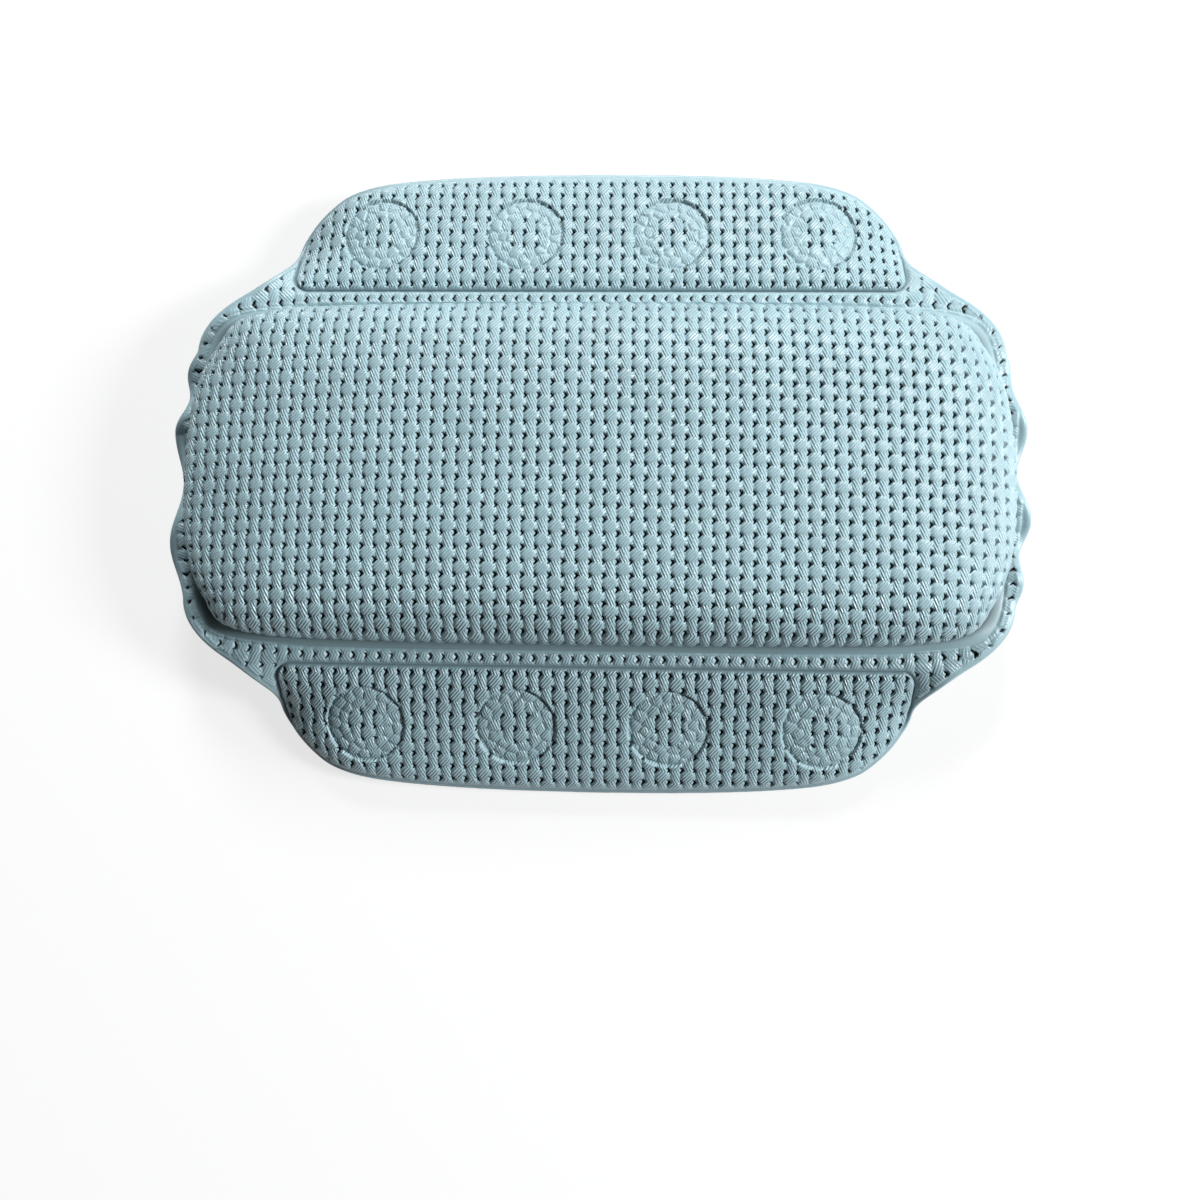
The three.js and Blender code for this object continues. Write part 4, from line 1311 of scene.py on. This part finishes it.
# Stage and merging distance, in metres
POLE_MERGE = 0.00005
KEY_PLACE = (1.33, 0, 0.9)
FILL_PLACE = (0, 1.33, 0.9)
LAMP_SIZE = 0.4
FLOOR_REACH = 6.0
FLOOR_LIFT = 0.75
THROUGH_RUBBER = 0.45


class PILLOW_OT_cushion(bpy.types.Operator):
    """Make the filled cushion: its embossed front and its plain back."""

    bl_idname = "pillow.cushion"
    bl_label = "Cushion"

    def execute(self, context):
        settings = context.scene.bath_pillow
        plan = Plan(settings)
        shift_x, shift_y, front_shift, back_shift = settled_shift(plan)
        self.make_front(plan, settings.finish, shift_x, shift_y, front_shift)
        self.make_back(plan, settings.finish, shift_x, shift_y, back_shift)
        return {"FINISHED"}

    def make_front(self, plan, finish, shift_x, shift_y, shift):
        """Embossed half of the cushion: the settled surface moved along its normals by the relief."""
        (x_places, x_along), (y_places, y_along) = cushion_steps(plan, *weave_steps(plan))
        patch = Patch(x_places, y_places, plan.outline, (0, -1))
        points, inset, rim_inset, to_end = cushion_surface(plan, patch.x, patch.y, 1)
        points += spread(shift, shift_x, shift_y, x_along, y_along)
        u, v = np.meshgrid(x_along / plan.weave.pitch_x, y_along / plan.weave.pitch_y)
        relief, fields, place = cushion_relief(plan, patch.x, patch.y, inset, rim_inset, to_end, u, v)
        points += relief[..., None] * surface_normals(points)

        def under(x, y):
            return np.column_stack([x, y, flange_wave(plan, x, y, seam_inset(plan, x, y)[0])])

        piece = closed_sheet("cushion_foam", patch, points, under, plan.outline, fields, place)
        piece.data.materials.append(shared_material("embossed_foam", foam_material, finish))
        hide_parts("cushion_front_cover", "cushion_core")
        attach(piece, "cushion")

    def make_back(self, plan, finish, shift_x, shift_y, shift):
        """Plain half of the cushion, which lies on the ground."""
        step = plan.weave.film_step
        (x_places, x_along), (y_places, y_along) = cushion_steps(plan, step, step)
        patch = Patch(x_places, y_places, plan.outline, (0, -1))
        points = cushion_surface(plan, patch.x, patch.y, -1)[0]
        points += spread(shift, shift_x, shift_y, x_along, y_along)
        points[..., 2] = np.maximum(points[..., 2], -plan.cushion.back_depth)

        def under(x, y):
            return np.column_stack([x, y, flange_wave(plan, x, y, seam_inset(plan, x, y)[0]) - PLY_GAP])

        piece = closed_sheet("cushion_film", patch, points, under, plan.outline, {}, turned=True)
        piece.data.materials.append(shared_material("back_film", film_material, finish))
        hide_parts("cushion_back_cover")
        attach(piece, "cushion")


class PILLOW_OT_flaps(bpy.types.Operator):
    """Make the two flaps, each with its fold row: the embossed front sheet and the plain back film."""

    bl_idname = "pillow.flaps"
    bl_label = "Flaps"

    def execute(self, context):
        settings = context.scene.bath_pillow
        plan = Plan(settings)
        for side in SIDES:
            self.make_sheet(plan, settings.finish, side, True)
            self.make_sheet(plan, settings.finish, side, False)
        return {"FINISHED"}

    def make_sheet(self, plan, finish, side, is_front):
        """One sheet of a flap: a flat grid from the weld band to the outline, bent down at the fold row."""
        step_x, step_y = weave_steps(plan) if is_front else (plan.weave.film_step, plan.weave.film_step)
        (x_places, x_along), _ = cushion_steps(plan, step_x, step_y)
        y_places = np.arange(plan.band_edge, FOLD_Y + plan.flap.reach + 2 * step_y, step_y)
        patch = Patch(x_places, y_places, plan.outline, (0,))
        along, across = SIDES[side] * x_along, SIDES[side] * (y_places - FOLD_Y)
        pad_height = plan.weave.pitch_y * plan.weave.flap_stretch
        u, v = np.meshgrid(along / plan.weave.pitch_x, across / pad_height)
        if is_front:
            height, fields, pads = flap_relief(plan, side, patch.x, patch.y, u, v)
            level = 0.0
        else:
            height, fields, pads, level = -film_relief(plan, patch.x, patch.y), {}, None, -PLY_GAP

        def under(x, y):
            return bent_flap(plan, side, x, y, level - hang(plan, x, y))

        points = bent_flap(plan, side, patch.x, patch.y, height - hang(plan, patch.x, patch.y))
        name = f"{side}_flap_{'foam' if is_front else 'film'}"
        piece = closed_sheet(name, patch, points, under, plan.outline, fields, pads, turned=not is_front)
        maker = foam_material if is_front else film_material
        finish_name = "embossed_foam" if is_front else "back_film"
        piece.data.materials.append(shared_material(finish_name, maker, finish))
        part = "front" if is_front else "back"
        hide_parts(f"{side}_flap_{part}", f"{side}_fold_{part}")
        wide = np.ptp(patch.x[patch.used]) * MM
        deep = np.ptp(patch.y[patch.used]) * MM
        cell = np.gradient(patch.x, axis=1) * np.gradient(patch.y, axis=0)
        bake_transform(piece)


class PILLOW_OT_cups(bpy.types.Operator):
    """Make the eight suction cups on the backs of the flaps."""

    bl_idname = "pillow.cups"
    bl_label = "Suction cups"

    def execute(self, context):
        settings = context.scene.bath_pillow
        plan = Plan(settings)
        for side in SIDES:
            for number_of_cup, place in enumerate(cup_places(plan), start=1):
                self.make_cup(plan, settings.finish, side, number_of_cup, place)
        return {"FINISHED"}

    def make_cup(self, plan, finish, side, number_of_cup, place):
        """A turned profile: the hollow inside of the bell, its flat lip, its outside, and the neck. Radius
        and depth run along the profile, and the other parameter is the angle about the cup's axis."""
        cup = plan.cup
        lip = cup.gap + cup.height
        crown = cup.gap + cup.wall
        inner_lip = (cup.lip_r - cup.lip_width, lip)
        shoulder = (cup.shoulder_r, cup.gap)
        waist = (cup.waist_r, cup.gap + cup.height / 2)
        inside = bezier((0, crown), (cup.crown_r, crown), inner_lip, CURVE_POINTS)
        outside = bezier((cup.lip_r, lip - cup.lip_thickness), waist, shoulder, CURVE_POINTS)
        lip_points = [inner_lip, (cup.lip_r - LIP_BEVEL, lip), (cup.lip_r, lip - LIP_BEVEL)]
        top = [
            shoulder,
            (cup.shoulder_r - SHOULDER_IN, cup.gap - SHOULDER_UP),
            (cup.neck_r, cup.gap - SHOULDER_UP),
            (cup.neck_r, NECK_TOP),
            (0, NECK_TOP),
        ]
        profile = np.vstack([inside, lip_points, outside, top])
        profile[[0, -1], 0] = POLE_R
        turn = np.linspace(0, 2 * np.pi, CUP_SIDES, endpoint=False)
        radius, depth = profile[:, 0][:, None], profile[:, 1][:, None]
        x = place[0] + radius * np.cos(turn)
        y = place[1] + radius * np.sin(turn)
        level = -depth - hang(plan, *np.array(place)) + 0 * turn
        points = bent_flap(plan, side, x, y, level).reshape(-1, 3)
        numbers = np.arange(len(points)).reshape(x.shape)
        wrapped = np.column_stack([numbers, numbers[:, :1]])
        quads = grid_quads(wrapped)[:, ::-1]
        piece = mesh_piece(f"{side}_cup_{number_of_cup}", points, quads)
        close_poles(piece)
        piece.data.materials.append(shared_material("clear_rubber", cup_material, finish))
        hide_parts(f"{side}_suction_cup_{number_of_cup}")
        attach(piece, f"{side}_flap")


def close_poles(piece):
    """Merges the tiny rings at the ends of a turned profile into poles, and points the faces outwards."""
    shape = bmesh.new()
    shape.from_mesh(piece.data)
    bmesh.ops.remove_doubles(shape, verts=shape.verts, dist=POLE_MERGE)
    bmesh.ops.recalc_face_normals(shape, faces=shape.faces)
    shape.to_mesh(piece.data)
    shape.free()


class PILLOW_OT_stage(bpy.types.Operator):
    """Set the floor, the lights and the camera."""

    bl_idname = "pillow.stage"
    bl_label = "Stage"

    def execute(self, context):
        settings = context.scene.bath_pillow
        context.scene.view_settings.view_transform = "Standard"
        self.make_floor(settings.finish)
        self.make_world(context.scene, settings.stage)
        self.make_light("key_light", KEY_PLACE, settings.stage.key)
        self.make_light("fill_light", FILL_PLACE, settings.stage.fill)
        self.make_camera(context.scene, settings.stage)
        return {"FINISHED"}

    def make_floor(self, finish):
        """A wide pale floor under the pillow, lifted to white where the camera sees it."""
        mesh = bpy.data.meshes.new("floor")
        corners = [(x * FLOOR_REACH, y * FLOOR_REACH, 0) for x, y in ((-1, -1), (1, -1), (1, 1), (-1, 1))]
        mesh.from_pydata(corners, [], [(0, 1, 2, 3)])
        floor = bpy.data.objects.new("floor", mesh)
        bpy.context.scene.collection.objects.link(floor)
        material, tree, shader = new_material("pale_floor")
        shader.inputs["Base Color"].default_value = (*finish.floor, 1)
        shader.inputs["Roughness"].default_value = 0.9
        shader.inputs["Specular IOR Level"].default_value = 0.1
        glow = tree.nodes.new("ShaderNodeEmission")
        seen = tree.nodes.new("ShaderNodeLightPath")
        mix = tree.nodes.new("ShaderNodeMixShader")
        share = math_node(tree, "MULTIPLY", seen.outputs["Is Camera Ray"], FLOOR_LIFT)
        tree.links.new(share, mix.inputs[0])
        tree.links.new(shader.outputs[0], mix.inputs[1])
        tree.links.new(glow.outputs[0], mix.inputs[2])
        tree.links.new(mix.outputs[0], tree.nodes["Material Output"].inputs["Surface"])
        mesh.materials.append(material)

    def make_world(self, scene, stage):
        """Even light from all round, which looks white to the camera and pale grey through clear rubber."""
        world = bpy.data.worlds.new("studio")
        world.use_nodes = True
        tree = world.node_tree
        background = tree.nodes["Background"]
        background.inputs["Color"].default_value = (1, 1, 1, 1)
        seen = tree.nodes.new("ShaderNodeLightPath")
        through = math_node(tree, "MULTIPLY", seen.outputs["Is Transmission Ray"], THROUGH_RUBBER)
        share = math_node(tree, "ADD", seen.outputs["Is Camera Ray"], through)
        tree.links.new(ranged(tree, share, stage.ambient, 1.0), background.inputs["Strength"])
        scene.world = world

    def make_light(self, name, place, power):
        """A square lamp that faces the middle of the pillow."""
        data = bpy.data.lights.new(name, "AREA")
        data.size = LAMP_SIZE
        data.energy = power
        lamp = bpy.data.objects.new(name, data)
        lamp.location = place
        lamp.rotation_mode = "QUATERNION"
        lamp.rotation_quaternion = (-Vector(place)).to_track_quat("-Z", "Y")
        bpy.context.scene.collection.objects.link(lamp)

    def make_camera(self, scene, stage):
        """A camera above the cushion, a little towards its lower flap and its right end."""
        back = Vector((math.tan(stage.swing), -math.tan(stage.tilt), 1)).normalized()
        middle = Vector((0, CENTRE_Y, SEAM_Z)) * MM
        data = bpy.data.cameras.new("camera")
        data.sensor_width = 36
        data.lens = data.sensor_width * stage.scale * stage.distance / MM / stage.picture
        data.shift_x = 0.5 - stage.middle_x / stage.picture
        data.shift_y = stage.middle_y / stage.picture - 0.5
        data.clip_start = 0.01
        camera = bpy.data.objects.new("camera", data)
        camera.location = middle + back * stage.distance
        level = Vector((0, 1, 0)).cross(back).normalized()
        right = math.cos(stage.roll) * level + math.sin(stage.roll) * back.cross(level)
        camera.rotation_euler = Matrix((right, back.cross(right), back)).transposed().to_euler()
        scene.collection.objects.link(camera)
        scene.camera = camera


class PILLOW_PT_panel(bpy.types.Panel):
    """Sidebar panel with the pillow's pieces and their sizes."""

    bl_idname = "PILLOW_PT_panel"
    bl_label = "Bath Pillow"
    bl_space_type = "VIEW_3D"
    bl_region_type = "UI"
    bl_category = "Bath Pillow"

    def draw(self, context):
        settings = context.scene.bath_pillow
        for operator in OPERATORS:
            self.layout.operator(operator.bl_idname)
        for name in PillowSettings.__annotations__:
            group = getattr(settings, name)
            box = self.layout.box()
            box.label(text=name.capitalize())
            for prop in type(group).__annotations__:
                box.prop(group, prop)


GROUPS = (CushionSizes, FlapSizes, WeaveSizes, CupSizes, Finishes, StageSettings, PillowSettings)
OPERATORS = (PILLOW_OT_cushion, PILLOW_OT_flaps, PILLOW_OT_cups, PILLOW_OT_stage)
CLASSES = (*GROUPS, *OPERATORS, PILLOW_PT_panel)


def register():
    for item in CLASSES:
        bpy.utils.register_class(item)
    bpy.types.Scene.bath_pillow = PointerProperty(type=PillowSettings)


def unregister():
    del bpy.types.Scene.bath_pillow
    for item in reversed(CLASSES):
        bpy.utils.unregister_class(item)


def main():
    """Registers the add-on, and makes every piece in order."""
    register()
    bpy.ops.pillow.cushion()
    bpy.ops.pillow.flaps()
    bpy.ops.pillow.cups()
    bpy.ops.pillow.stage()


if __name__ == "__main__":
    main()
